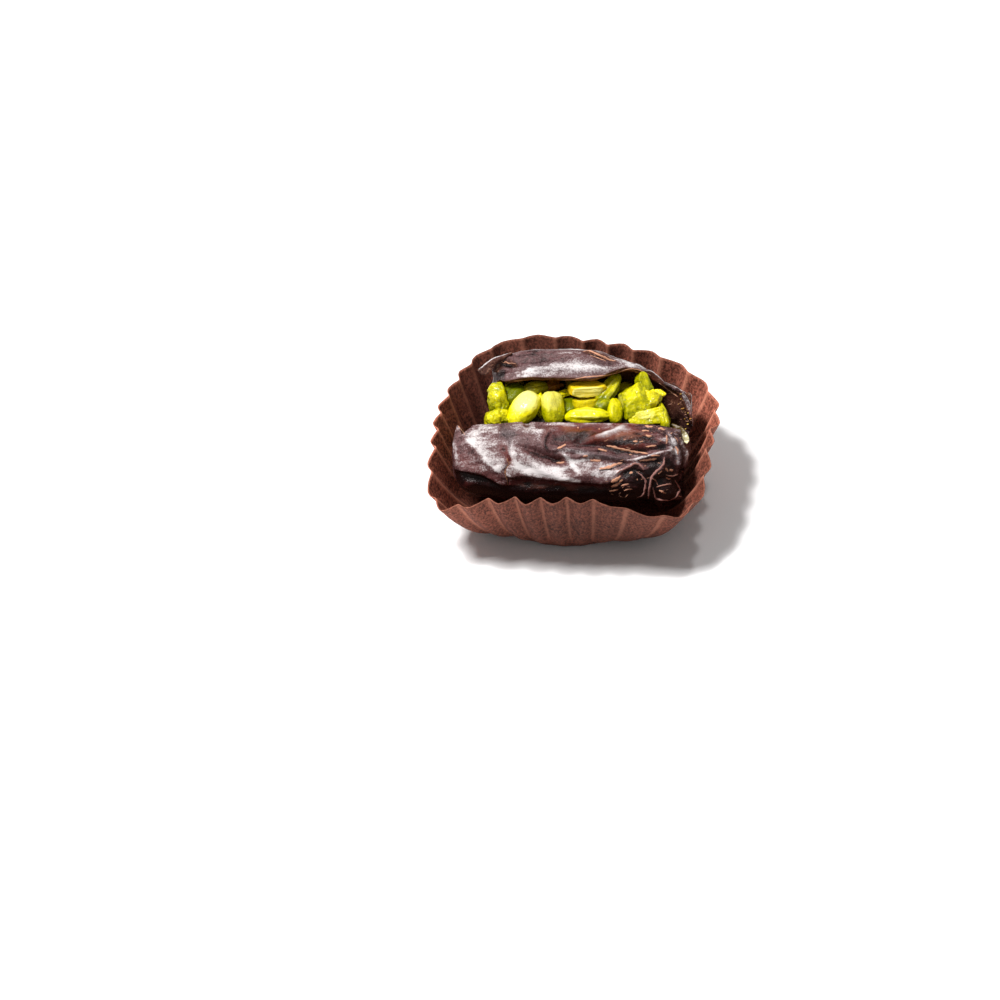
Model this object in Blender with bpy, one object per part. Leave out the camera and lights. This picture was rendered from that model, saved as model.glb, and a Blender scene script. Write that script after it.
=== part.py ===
"""Stuffed date in a pleated paper case.

One dark date, slit along its top and opened into a trough, is packed with broken pistachio
kernels and sits in a fluted brown paper case. X runs along the date, Y across it to the back,
Z up. The origin is the middle of the case's flat base, on its underside.
Sizes below are in millimetres and degrees.
"""

import random
from math import atan2, cos, degrees, exp, pi, radians, sin, sqrt

import bmesh
import bpy
from mathutils import Euler, Matrix, Vector

MM = 0.001

# The paper case
BASE_RADIUS = 17.5
WALL_SLANT = 20.0
WALL_FLARE = 9.5
WALL_PRESSED = (  # where the date pushes the wall out: direction, half width, extra flare
    (6.0, 35.0, 26.5),
    (116.0, 23.0, 16.0),
    (202.0, 83.0, 17.5),
    (212.0, 16.0, 20.0),
    (310.0, 25.0, 33.5),
)
WALL_BELLY = 0.055  # bulge of the wall's middle for each degree of flare
BELLY_LOWER = 0.7  # below 1 it puts the bulge nearer the base
FOOT = 3.0  # height over which the wall leaves the base
PAPER = 0.3
PLEATS = 30
PLEAT_HEIGHT = 0.75  # at the rim; none at the base
PLEAT_CREASE = 0.22  # share of the second wave, which makes the inward creases narrow
PLEAT_OFFSET = 11.2
PLEAT_CROWDING = ((1, 7.0, 136.0), (2, 3.0, -52.0))  # wave number, size, direction
PLEAT_COLUMNS = 6
WALL_ROWS = (0.0, 2.0, 6.5, 13.0, 20.0)

# The date: sections across it from the front lip, round the bottom, to the back lip
# Each point is its place to the back, its height and the thickness of the flesh there
DATE_TURN = -8.0
DATE_TILT = 1.0
DATE_PLACE = (0.0, 0.0, 1.2)
SECTION_MIDDLE = (
    (-4.9, 20.2, 2.2),
    (-10.0, 19.7, 3.6),
    (-14.2, 16.2, 4.4),
    (-14.9, 10.6, 4.6),
    (-10.8, 4.2, 4.8),
    (-4.0, 0.6, 5.2),
    (4.0, 0.5, 5.2),
    (10.2, 4.0, 4.8),
    (14.0, 10.4, 4.2),
    (14.2, 17.2, 3.4),
    (12.6, 23.0, 2.6),
    (8.8, 26.6, 2.0),
    (2.9, 24.9, 1.0),
)
SECTION_LEFT = (
    (-5.0, 19.4, 2.0),
    (-9.8, 19.2, 3.2),
    (-13.6, 16.0, 4.0),
    (-14.2, 10.8, 4.2),
    (-10.4, 4.8, 4.4),
    (-4.0, 1.4, 4.6),
    (4.0, 1.2, 4.6),
    (9.2, 4.6, 4.4),
    (12.4, 10.6, 3.8),
    (12.4, 16.6, 3.0),
    (11.0, 21.4, 2.4),
    (7.8, 24.0, 1.9),
    (2.8, 23.2, 1.0),
)
SECTION_RIGHT = (
    (-5.0, 20.2, 1.8),
    (-9.6, 18.8, 3.0),
    (-13.0, 15.0, 3.8),
    (-13.4, 9.8, 4.2),
    (-10.0, 4.2, 4.4),
    (-4.0, 1.2, 4.8),
    (3.0, 1.2, 4.8),
    (8.0, 4.4, 4.4),
    (10.8, 9.6, 3.8),
    (11.2, 14.4, 3.0),
    (10.4, 17.8, 2.4),
    (9.2, 20.0, 1.6),
    (8.0, 21.4, 0.9),
)
SECTION_TWIST = (
    (-5.0, 20.3, 2.0),
    (-9.9, 19.4, 3.4),
    (-13.8, 15.8, 4.2),
    (-14.4, 10.3, 4.5),
    (-10.5, 4.2, 4.7),
    (-4.0, 0.9, 5.0),
    (3.6, 0.8, 5.0),
    (9.4, 4.1, 4.6),
    (12.8, 10.0, 4.0),
    (12.9, 15.8, 3.2),
    (11.6, 20.6, 2.4),
    (9.4, 24.0, 1.6),
    (6.8, 24.6, 0.9),
)
SECTIONS = (  # places along the date, from left to right, and the section there
    (-17.0, SECTION_LEFT),
    (-7.0, SECTION_MIDDLE),
    (4.0, SECTION_MIDDLE),
    (11.5, SECTION_TWIST),
    (17.5, SECTION_RIGHT),
)
LEFT_REACH = (21.8, 22.7, 22.1, 20.2, 18.2, 18.0, 16.8)  # in equal steps round the section
RIGHT_REACH = (22.9, 23.6, 23.6, 23.0, 23.4, 24.0, 24.0)
END_ROUNDING = (5.0, 9.0)  # length of the rounded stretch at the left and at the right end
END_BLUNTNESS = 2.4
LEFT_MIDDLE = (0.0, 10.5)  # where the rounded end draws in to: to the back, height
RIGHT_MIDDLE = (-1.0, 14.0)
LEFT_DRAWN_IN = (0.10, 0.35, 0.72, 0.92, 0.75, 0.45, 0.20)  # shares, in equal steps round it
RIGHT_DRAWN_IN = (0.82, 0.85, 0.88, 0.92, 0.88, 0.85, 0.82)
FOLDS = (  # of the front flap: height, middle along the date, half length, place round it, half width
    (-1.5, 5.0, 10.0, 0.135, 0.035),
    (0.8, 0.0, 20.0, 0.255, 0.040),
    (-0.9, 0.0, 19.0, 0.315, 0.030),
)
FOLD_ENDING = 4  # the higher, the more suddenly a fold ends along the date
DATE_STATIONS = 34
DATE_CROWDING = 0.86  # of the stations near the ends: 0 spaces them evenly, 1 the most crowded
DATE_SECTION_STEPS = 26
INNER_REACH = 0.93  # of the hollow, as a share of the date's length

# The filling: a core in the hollow, and the pistachio pieces that show on it
FILLING_GAP = 0.35
CUTTER_GROWTH = 0.45
CORE_FROM = -0.80  # along the date, from -1 at the left end to 1 at the right end
CORE_TO = 0.84
CORE_LIPS = (0.06, 0.79)  # places round the section where its top begins and ends
CORE_CROWN = 1.4
CORE_END_SIZE = 0.55  # of the core's end faces, as a share of its section
CORE_SHRINKING = 12  # the higher, the nearer the ends the core grows thin
CORE_STATIONS = 12
CORE_SIDES = 14
CORE_TOP_STEPS = 4
WHOLE, SPLIT, SLIVER, CHUNK = "whole", "split", "sliver", "chunk"
PIECES = (  # kind, middle, length and width and height, turn round Z, rise of the far end
    (CHUNK, (-13.1, 2.4, 21.6), (8.0, 4.4, 4.0), 104, 40),
    (CHUNK, (-13.4, -1.4, 20.3), (5.2, 3.4, 4.4), 5, 0),
    (WHOLE, (-10.4, 4.6, 21.6), (5.4, 4.4, 3.4), 40, 10),
    (WHOLE, (-8.8, -0.3, 21.6), (8.3, 5.6, 3.9), 222, -25),
    (WHOLE, (-6.0, 5.2, 21.8), (5.2, 3.2, 3.0), 10, 5),
    (SLIVER, (-5.3, 1.2, 20.9), (5.4, 1.8, 2.6), 85, 30),
    (WHOLE, (-3.0, -0.4, 21.2), (6.8, 4.6, 3.7), 272, -30),
    (CHUNK, (-2.6, 6.0, 21.5), (4.6, 2.6, 2.4), 0, 0),
    (SLIVER, (-0.4, 3.9, 21.2), (3.4, 2.2, 1.6), 20, 0),
    (SLIVER, (4.3, 3.6, 22.3), (8.2, 3.8, 3.8), 0, 0),
    (SPLIT, (3.7, 1.1, 21.3), (5.2, 3.8, 4.4), 0, 0),
    (WHOLE, (3.7, -2.6, 20.5), (8.8, 3.2, 3.0), -4, 0),
    (WHOLE, (6.9, 0.1, 20.6), (4.0, 3.6, 3.2), 40, 0),
    (WHOLE, (8.4, 3.3, 21.7), (8.0, 3.2, 3.0), 53, 18),
    (WHOLE, (9.1, -1.8, 20.6), (5.4, 2.6, 3.0), 88, 25),
    (CHUNK, (13.4, 0.0, 21.1), (8.0, 9.2, 6.6), 0, 0),
    (WHOLE, (15.4, 3.2, 22.4), (5.2, 3.6, 3.0), 112, 30),
    (SLIVER, (17.6, 0.8, 21.8), (3.2, 2.0, 1.4), -15, 0),
    (CHUNK, (16.2, -0.3, 20.9), (6.0, 6.4, 4.6), 20, 10),
    (SPLIT, (15.1, -3.7, 20.2), (7.8, 5.0, 4.2), -6, 0),
    (WHOLE, (18.3, -3.3, 19.0), (6.8, 2.2, 4.4), 97, 10),
)
FLAP_PIECES = 5  # more of them in a row under the back flap
END_PIECES = (  # middle of more of them at the two ends
    (-12.8, -1.0, 16.6),
    (-12.0, 3.2, 17.5),
    (-14.4, 0.6, 13.1),
    (18.0, -1.2, 15.7),
)
FLAP_ROW = ((-10.0, 9.0, 19.9), (12.0, 5.9, 19.9))  # middles of the row's first and last piece
HIDDEN_LENGTH = (5.0, 6.4)
HIDDEN_WIDTH = (3.2, 4.0)
HIDDEN_HEIGHT = (3.0, 3.6)
HIDDEN_TURN = (20.0, 160.0)
HIDDEN_RISE = (-20.0, 20.0)
WHOLE_SLIMMING = 0.22  # of a whole kernel's far end
SPLIT_FACE = 0.15  # height of a split kernel's flat face, as a share of its half height
SLIVER_SLIMMING = (0.5, 0.6)  # across, and in height towards the far end
CHUNK_UNEVENNESS = (0.84, 1.08)
SEED = 11


def smooth_step(low, high, value):
    """Rises smoothly from 0 at low to 1 at high."""
    t = min(max((value - low) / (high - low), 0.0), 1.0)
    return t * t * (3.0 - 2.0 * t)


def mix(a, b, share):
    return a + (b - a) * share


def material(name, colour, roughness):
    """A finish with the piece's own colour."""
    finish = bpy.data.materials.new(name)
    finish.use_nodes = True
    shader = finish.node_tree.nodes["Principled BSDF"]
    shader.inputs["Base Color"].default_value = (*colour, 1.0)
    shader.inputs["Roughness"].default_value = roughness
    shader.inputs["Metallic"].default_value = 0.0
    finish.diffuse_color = (*colour, 1.0)
    return finish


def add_object(name, bm, finish):
    """Makes an object of a bmesh in millimetres, with closed faces that point out."""
    bmesh.ops.scale(bm, vec=(MM, MM, MM), verts=bm.verts)
    bmesh.ops.triangulate(bm, faces=bm.faces)
    bmesh.ops.recalc_face_normals(bm, faces=bm.faces)
    mesh = bpy.data.meshes.new(name)
    bm.to_mesh(mesh)
    bm.free()
    mesh.shade_smooth()
    mesh.materials.append(finish)
    piece = bpy.data.objects.new(name, mesh)
    bpy.context.scene.collection.objects.link(piece)
    return piece


# Paper case


def wall_flare(direction):
    """The wall's angle from upright, in degrees, in a direction round the case."""
    flare = WALL_FLARE
    for middle, half_width, extra in WALL_PRESSED:
        off = (direction - middle + 180.0) % 360.0 - 180.0
        flare += extra * exp(-((off / half_width) ** 2))
    return flare


def pleat_direction(turn):
    """Where a pleat stands that would be at this angle if all pleats were alike."""
    shift = PLEAT_OFFSET
    for wave, size, peak in PLEAT_CROWDING:
        shift += size * cos(radians(wave * (turn - peak)))
    return turn + shift


def wall_point(direction, along, wave):
    """A point of the paper, along millimetres up the wall, wave from -1 (crease) to 1 (fold)."""
    flare = wall_flare(direction)
    tilt = radians(flare)
    belly = WALL_BELLY * flare * sin(pi * (along / WALL_SLANT) ** BELLY_LOWER)
    lift = PLEAT_HEIGHT * sqrt(along / WALL_SLANT) * wave
    reach = BASE_RADIUS + along * sin(tilt) + (belly + lift) * cos(tilt)
    height = PAPER + along * cos(tilt) - (belly + lift) * sin(tilt) * min(along / FOOT, 1.0)
    angle = radians(direction)
    return Vector((reach * cos(angle), reach * sin(angle), height))


def make_paper_case(finish):
    """A round base and a pleated wall, drawn as one sheet that is then given its thickness."""
    columns = PLEATS * PLEAT_COLUMNS
    bm = bmesh.new()
    bmesh.ops.create_circle(bm, cap_ends=True, segments=columns, radius=BASE_RADIUS)
    rim = [edge for edge in bm.edges if edge.is_boundary]
    rows = []
    for along in WALL_ROWS:
        if along > 0.0:
            grown = bmesh.ops.extrude_edge_only(bm, edges=rim)["geom"]
            rim = [item for item in grown if isinstance(item, bmesh.types.BMEdge)]
        rows.append((along, {vert for edge in rim for vert in edge.verts}))
    for along, verts in reversed(rows):
        for vert in verts:
            turn = degrees(atan2(vert.co.y, vert.co.x)) % 360.0
            phase = radians(turn * PLEATS)
            wave = cos(phase) - PLEAT_CREASE * cos(2.0 * phase)
            vert.co = wall_point(pleat_direction(turn), along, wave)
    bmesh.ops.recalc_face_normals(bm, faces=bm.faces)
    case = add_object("paper_case", bm, finish)
    thicken = case.modifiers.new("paper", "SOLIDIFY")
    thicken.thickness = PAPER * MM
    thicken.offset = 1.0
    thicken.solidify_mode = "NON_MANIFOLD"
    thicken.nonmanifold_thickness_mode = "CONSTRAINTS"  # keeps the underside flat
    return case


# Date


def curve_through(points, share):
    """A smooth curve through points of numbers, at share from 0 to 1 along it."""
    spans = len(points) - 1
    place = min(max(share, 0.0), 1.0) * spans
    index = min(int(place), spans - 1)
    t = place - index
    before = points[max(index - 1, 0)]
    start = points[index]
    end = points[index + 1]
    after = points[min(index + 2, spans)]
    weights = (
        (-t**3 + 2.0 * t**2 - t) / 2.0,
        (3.0 * t**3 - 5.0 * t**2 + 2.0) / 2.0,
        (-3.0 * t**3 + 4.0 * t**2 + t) / 2.0,
        (t**3 - t**2) / 2.0,
    )
    return [sum(w * n for w, n in zip(weights, numbers)) for numbers in zip(before, start, end, after)]


def round_section(numbers, v):
    """A number that changes smoothly round the section, given in equal steps of v."""
    return curve_through([(number,) for number in numbers], v)[0]


def draw_in(u, v, y, z):
    """Moves a point of the section towards the middle of the end that it is near."""
    if u < 0.0:
        reach, stretch, drawn_in, middle = LEFT_REACH, END_ROUNDING[0], LEFT_DRAWN_IN, LEFT_MIDDLE
    else:
        reach, stretch, drawn_in, middle = RIGHT_REACH, END_ROUNDING[1], RIGHT_DRAWN_IN, RIGHT_MIDDLE
    from_end = (1.0 - abs(u)) * round_section(reach, v)
    t = max(1.0 - from_end / stretch, 0.0)
    share = round_section(drawn_in, v) * (1.0 - sqrt(max(1.0 - t**END_BLUNTNESS, 0.0)))
    return mix(y, middle[0], share), mix(z, middle[1], share)


def plain_skin(u, v):
    """The date's surface without folds, and the flesh's thickness; u and v as in skin."""
    x = u * round_section(LEFT_REACH if u < 0.0 else RIGHT_REACH, v)
    y, z, thick = curve_through(SECTIONS[0][1], v)
    for (start, _), (end, section) in zip(SECTIONS, SECTIONS[1:]):
        share = smooth_step(start, end, x)
        y, z, thick = (mix(a, b, share) for a, b in zip((y, z, thick), curve_through(section, v)))
    return Vector((x, *draw_in(u, v, y, z))), thick


def outward(u, v):
    """The direction in which the plain surface faces."""
    step = 0.002
    along = plain_skin(min(u + step, 1.0), v)[0] - plain_skin(max(u - step, -1.0), v)[0]
    across = plain_skin(u, min(v + step, 1.0))[0] - plain_skin(u, max(v - step, 0.0))[0]
    return across.cross(along).normalized()


def skin(u, v):
    """The outer surface: u from -1 at the left end to 1, v from the front lip round to the back lip."""
    point = plain_skin(u, v)[0]
    height = 0.0
    for size, middle, half_length, place, half_width in FOLDS:
        along = ((point.x - middle) / half_length) ** FOLD_ENDING
        height += size * exp(-along - ((v - place) / half_width) ** 2)
    return DATE_PLACING @ (point + outward(u, v) * height)


def under_skin(u, v, extra=0.0):
    """The inner side of the flesh, or a point extra millimetres further in."""
    point, thick = plain_skin(u, v)
    return DATE_PLACING @ (point - outward(u, v) * (thick + extra))


DATE_PLACING = (
    Matrix.Translation(DATE_PLACE)
    @ Matrix.Rotation(radians(DATE_TURN), 4, "Z")
    @ Matrix.Rotation(radians(DATE_TILT), 4, "Y")
)


def station(share):
    """Stations along the date, closer together towards its rounded ends."""
    spread = pi * DATE_CROWDING
    return sin((share - 0.5) * spread) / sin(0.5 * spread)


def sheet(bm, columns, rows, place):
    """A grid of columns by rows faces whose corners place puts; returns its corners by row."""
    made = bmesh.ops.create_grid(bm, x_segments=columns, y_segments=rows, size=0.5)["verts"]
    lines = [[None] * (columns + 1) for _ in range(rows + 1)]
    for vert in made:
        i = round((vert.co.x + 0.5) * columns)
        j = round((vert.co.y + 0.5) * rows)
        lines[j][i] = vert
    for j, line in enumerate(lines):
        for i, vert in enumerate(line):
            vert.co = place(i / columns, j / rows)
    return lines


def border(lines):
    """The corners round a sheet's edge, in order."""
    round_it = list(lines[0])
    round_it += [line[-1] for line in lines[1:]]
    round_it += list(reversed(lines[-1]))[1:]
    round_it += [line[0] for line in reversed(lines[1:-1])]
    return round_it


def join_borders(bm, outer, inner):
    """Closes the strip between the edges of two sheets."""
    count = len(outer)
    for k in range(count):
        after = (k + 1) % count
        bm.faces.new((outer[k], outer[after], inner[after], inner[k]))


def make_date(finish):
    """The outer skin and the inner side of the flesh, joined along the lips and the ends."""
    bm = bmesh.new()
    outer = sheet(bm, DATE_STATIONS, DATE_SECTION_STEPS, lambda i, j: skin(station(i), j))
    inner = sheet(
        bm, DATE_STATIONS, DATE_SECTION_STEPS, lambda i, j: under_skin(station(i) * INNER_REACH, j)
    )
    join_borders(bm, border(outer), border(inner))
    return add_object("date", bm, finish)


# Filling


def core_place(i, j):
    """A corner of the core: i from the left end to the right, j round it and back over the top."""
    u = mix(CORE_FROM, CORE_TO, i)
    front, back, bottom = (under_skin(u, v, FILLING_GAP) for v in (*CORE_LIPS, 0.5))
    round_it = CORE_SIDES / (CORE_SIDES + CORE_TOP_STEPS)
    if j <= round_it:
        corner = under_skin(u, mix(*CORE_LIPS, j / round_it), FILLING_GAP)
    else:
        over = (j - round_it) / (1.0 - round_it)
        corner = back.lerp(front, over) + Vector((0.0, 0.0, CORE_CROWN * sin(pi * over)))
    size = mix(CORE_END_SIZE, 1.0, sqrt(1.0 - abs(2.0 * i - 1.0) ** CORE_SHRINKING))
    middle = ((front + back) / 2.0).lerp(bottom, 0.5)
    return middle.lerp(corner, size)


def make_core(finish):
    """The mass of the filling in the date's hollow, under the pieces that show."""
    bm = bmesh.new()
    sheet(bm, CORE_STATIONS, CORE_SIDES + CORE_TOP_STEPS, core_place)
    bmesh.ops.remove_doubles(bm, verts=bm.verts, dist=0.001)
    bmesh.ops.holes_fill(bm, edges=bm.edges, sides=0)
    return add_object("filling", bm, finish)


def shape_kernel(kind, point, draw):
    """Turns a point of a ball of radius 1 into one of a pistachio piece of its kind."""
    x, y, z = point
    if kind == WHOLE:
        slim = 1.0 - WHOLE_SLIMMING * max(x, 0.0)
        return Vector((x, y * slim, z * slim))
    if kind == SPLIT:
        return Vector((x, y, min(z, SPLIT_FACE)))
    if kind == SLIVER:
        across, up = SLIVER_SLIMMING
        return Vector((x, y * (1.0 - across * abs(x)), z * (1.0 - up * max(x, 0.0))))
    return Vector((x, y, z)) * draw.uniform(*CHUNK_UNEVENNESS)


def make_kernel(kind, middle, size, turn, rise, draw, finish):
    """One piece of pistachio, as a few faces."""
    bm = bmesh.new()
    bmesh.ops.create_icosphere(bm, subdivisions=2, radius=1.0)
    turning = Euler((0.0, -radians(rise), radians(turn))).to_matrix()
    for vert in bm.verts:
        shaped = shape_kernel(kind, vert.co, draw)
        half = Vector([a * b / 2.0 for a, b in zip(shaped, size)])
        vert.co = turning @ half + Vector(middle)
    return add_object("kernel", bm, finish)


def hidden_pieces(draw):
    """Pieces in a row under the back flap and at the ends, as uneven as those that show."""
    middles = list(END_PIECES)
    first, last = FLAP_ROW
    for k in range(FLAP_PIECES):
        middles.append([mix(a, b, k / (FLAP_PIECES - 1)) for a, b in zip(first, last)])
    for middle in middles:
        size = [draw.uniform(*span) for span in (HIDDEN_LENGTH, HIDDEN_WIDTH, HIDDEN_HEIGHT)]
        yield WHOLE, middle, size, draw.uniform(*HIDDEN_TURN), draw.uniform(*HIDDEN_RISE)


def apply_modifiers(piece):
    """Replaces an object's mesh by what its modifiers make of it."""
    depsgraph = bpy.context.evaluated_depsgraph_get()
    mesh = bpy.data.meshes.new_from_object(piece.evaluated_get(depsgraph))
    piece.modifiers.clear()
    piece.data = mesh


def keep_largest_body(piece):
    """Drops loose scraps that a cut has left."""
    bm = bmesh.new()
    bm.from_mesh(piece.data)
    bmesh.ops.remove_doubles(bm, verts=bm.verts, dist=0.00001)
    waiting = set(bm.verts)
    bodies = []
    while waiting:
        body = {waiting.pop()}
        edge_of_body = set(body)
        while edge_of_body:
            edge_of_body = {
                edge.other_vert(vert) for vert in edge_of_body for edge in vert.link_edges
            } - body
            body |= edge_of_body
        waiting -= body
        bodies.append(body)
    largest = max(bodies, key=len)
    bmesh.ops.delete(bm, geom=[vert for vert in bm.verts if vert not in largest], context="VERTS")
    bmesh.ops.triangulate(bm, faces=bm.faces)
    bm.to_mesh(piece.data)
    bm.free()


def make_filling(date, finish):
    """The core with its pistachio pieces fused on, cut clear of the date."""
    draw = random.Random(SEED)
    filling = make_core(finish)
    kernels = bpy.data.collections.new("kernels")
    for kind, middle, size, turn, rise in (*PIECES, *hidden_pieces(draw)):
        kernels.objects.link(make_kernel(kind, middle, size, turn, rise, draw, finish))
    cutter = bpy.data.objects.new("date_cutter", date.data.copy())
    bpy.context.scene.collection.objects.link(cutter)
    grow = cutter.modifiers.new("clearance", "DISPLACE")
    grow.strength = CUTTER_GROWTH * MM
    grow.mid_level = 0.0
    fuse = filling.modifiers.new("fuse", "BOOLEAN")
    fuse.operation = "UNION"
    fuse.operand_type = "COLLECTION"
    fuse.collection = kernels
    fuse.solver = "EXACT"
    clear = filling.modifiers.new("clear", "BOOLEAN")
    clear.operation = "DIFFERENCE"
    clear.object = cutter
    clear.solver = "EXACT"
    apply_modifiers(filling)
    for helper in (*kernels.objects, cutter):
        bpy.data.objects.remove(helper, do_unlink=True)
    bpy.data.collections.remove(kernels)
    keep_largest_body(filling)
    return filling


def main():
    for old in list(bpy.data.objects):
        bpy.data.objects.remove(old, do_unlink=True)
    paper = material("brown_paper", (0.16, 0.07, 0.055), 0.85)
    skin_finish = material("date_skin", (0.045, 0.02, 0.022), 0.35)
    pistachio = material("pistachio", (0.45, 0.50, 0.03), 0.30)
    make_paper_case(paper)
    date = make_date(skin_finish)
    make_filling(date, pistachio)


main()
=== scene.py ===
"""Looks of a date stuffed with pistachio kernels, in its pleated paper case.

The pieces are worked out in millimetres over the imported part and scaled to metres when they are
made. Places that were read off the photograph are in its pixels. The camera's own geometry
carries them to the surface that they lie on.
"""

import random
from math import cos, pi, radians, sin

import bmesh
import bpy
import numpy as np
from bpy.props import FloatProperty, FloatVectorProperty, IntProperty, PointerProperty
from bpy.types import Operator, Panel, PropertyGroup
from mathutils import Euler, Matrix, Vector, noise
from mathutils.bvhtree import BVHTree


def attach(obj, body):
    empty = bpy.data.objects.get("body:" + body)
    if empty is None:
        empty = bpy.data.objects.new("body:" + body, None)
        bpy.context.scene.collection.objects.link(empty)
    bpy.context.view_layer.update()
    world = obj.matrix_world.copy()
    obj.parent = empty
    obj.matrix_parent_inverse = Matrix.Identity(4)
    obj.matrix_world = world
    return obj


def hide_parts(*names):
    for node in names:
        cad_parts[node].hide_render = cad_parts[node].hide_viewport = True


bl_info = {
    "name": "Stuffed Date",
    "version": (1, 0, 0),
    "blender": (4, 5, 0),
    "location": "3D View > Sidebar > Stuffed Date",
    "description": "Builds a date stuffed with pistachio kernels in its pleated paper case",
    "category": "Object",
}

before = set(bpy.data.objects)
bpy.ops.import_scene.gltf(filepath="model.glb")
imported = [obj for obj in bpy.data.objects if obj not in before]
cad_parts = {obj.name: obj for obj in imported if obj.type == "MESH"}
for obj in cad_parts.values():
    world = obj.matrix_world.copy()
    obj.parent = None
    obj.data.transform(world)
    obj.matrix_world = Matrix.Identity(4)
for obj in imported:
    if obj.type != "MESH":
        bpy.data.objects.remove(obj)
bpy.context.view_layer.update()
BODY = "root"
MM = 0.001

# The photograph's camera, in millimetres and pixels
PICTURE_SIDE = 1000
PIXEL = 0.2  # millimetres to a pixel at the case's base
CAMERA_DISTANCE = 700.0
CAMERA_ELEVATION = 43.0
CAMERA_ROLL = 5.0
CAMERA_RAISED = 0.3  # the paper's thickness in the part
BASE_PIXEL = (573.0, 484.5)
SENSOR = 36.0

# The paper case, as in the part
BASE_RADIUS = 17.5
WALL_SLANT = 20.0
WALL_FLARE = 9.5
WALL_PRESSED = (  # where the date pushes the wall out: direction, half width, extra flare
    (6.0, 35.0, 26.5),
    (116.0, 23.0, 16.0),
    (202.0, 83.0, 17.5),
    (212.0, 16.0, 20.0),
    (310.0, 25.0, 33.5),
)
WALL_BELLY = 0.055
BELLY_LOWER = 0.7
FOOT = 3.0
PART_PAPER = 0.3
PLEATS = 30
PLEAT_HEIGHT = 0.75
PLEAT_CREASE = 0.22
PLEAT_OFFSET = 11.2
PLEAT_CROWDING = ((1, 7.0, 136.0), (2, 3.0, -52.0))

# The date, as in the part. A section's points are their place to the back, their height and the
# thickness of the flesh there
DATE_TURN = -8.0
DATE_TILT = 1.0
DATE_PLACE = (0.0, 0.0, 1.2)
SECTION_MIDDLE = (
    (-4.9, 20.2, 2.2), (-10.0, 19.7, 3.6), (-14.2, 16.2, 4.4), (-14.9, 10.6, 4.6), (-10.8, 4.2, 4.8),
    (-4.0, 0.6, 5.2), (4.0, 0.5, 5.2), (10.2, 4.0, 4.8), (14.0, 10.4, 4.2), (14.2, 17.2, 3.4),
    (12.6, 23.0, 2.6), (8.8, 26.6, 2.0), (2.9, 24.9, 1.0),
)
SECTION_LEFT = (
    (-5.0, 19.4, 2.0), (-9.8, 19.2, 3.2), (-13.6, 16.0, 4.0), (-14.2, 10.8, 4.2), (-10.4, 4.8, 4.4),
    (-4.0, 1.4, 4.6), (4.0, 1.2, 4.6), (9.2, 4.6, 4.4), (12.4, 10.6, 3.8), (12.4, 16.6, 3.0),
    (11.0, 21.4, 2.4), (7.8, 24.0, 1.9), (2.8, 23.2, 1.0),
)
SECTION_RIGHT = (
    (-5.0, 20.2, 1.8), (-9.6, 18.8, 3.0), (-13.0, 15.0, 3.8), (-13.4, 9.8, 4.2), (-10.0, 4.2, 4.4),
    (-4.0, 1.2, 4.8), (3.0, 1.2, 4.8), (8.0, 4.4, 4.4), (10.8, 9.6, 3.8), (11.2, 14.4, 3.0),
    (10.4, 17.8, 2.4), (9.2, 20.0, 1.6), (8.0, 21.4, 0.9),
)
SECTION_TWIST = (
    (-5.0, 20.3, 2.0), (-9.9, 19.4, 3.4), (-13.8, 15.8, 4.2), (-14.4, 10.3, 4.5), (-10.5, 4.2, 4.7),
    (-4.0, 0.9, 5.0), (3.6, 0.8, 5.0), (9.4, 4.1, 4.6), (12.8, 10.0, 4.0), (12.9, 15.8, 3.2),
    (11.6, 20.6, 2.4), (9.4, 24.0, 1.6), (6.8, 24.6, 0.9),
)
SECTIONS = (
    (-17.0, SECTION_LEFT),
    (-7.0, SECTION_MIDDLE),
    (4.0, SECTION_MIDDLE),
    (11.5, SECTION_TWIST),
    (17.5, SECTION_RIGHT),
)
LEFT_REACH = (21.8, 22.7, 22.1, 20.2, 18.2, 18.0, 16.8)
RIGHT_REACH = (22.9, 23.6, 23.6, 23.0, 23.4, 24.0, 24.0)
END_ROUNDING = (5.0, 9.0)
END_BLUNTNESS = 2.4
LEFT_MIDDLE = (0.0, 10.5)
RIGHT_MIDDLE = (-1.0, 14.0)
LEFT_DRAWN_IN = (0.10, 0.35, 0.72, 0.92, 0.75, 0.45, 0.20)
RIGHT_DRAWN_IN = (0.82, 0.85, 0.88, 0.92, 0.88, 0.85, 0.82)
FOLDS = ((-1.5, 5.0, 10.0, 0.135, 0.035), (0.8, 0.0, 20.0, 0.255, 0.040), (-0.9, 0.0, 19.0, 0.315, 0.030))
FOLD_ENDING = 4
INNER_REACH = 0.93


# Arithmetic on arrays


def smooth_step(low, high, value):
    """Rises smoothly from 0 at low to 1 at high."""
    t = np.clip((value - low) / (high - low), 0.0, 1.0)
    return t * t * (3.0 - 2.0 * t)


def mix(a, b, share):
    return a + (b - a) * share


def bell(distance, half_width):
    """1 at distance 0, falling off over half_width."""
    return np.exp(-((distance / half_width) ** 2))


def bell_round(direction, middle, half_width):
    """As bell, for directions in degrees."""
    return bell((direction - middle + 180.0) % 360.0 - 180.0, half_width)


def curve_through(points, share):
    """A smooth curve through points, at shares from 0 to 1 along it."""
    points = np.asarray(points, float)
    spans = len(points) - 1
    place = np.clip(share, 0.0, 1.0) * spans
    index = np.minimum(place.astype(int), spans - 1)
    t = place - index
    before = points[np.maximum(index - 1, 0)]
    after = points[np.minimum(index + 2, spans)]
    if points.ndim > 1:
        t = t[..., None]
    return 0.5 * (
        before * (-t**3 + 2.0 * t**2 - t)
        + points[index] * (3.0 * t**3 - 5.0 * t**2 + 2.0)
        + points[index + 1] * (-3.0 * t**3 + 4.0 * t**2 + t)
        + after * (t**3 - t**2)
    )


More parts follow.
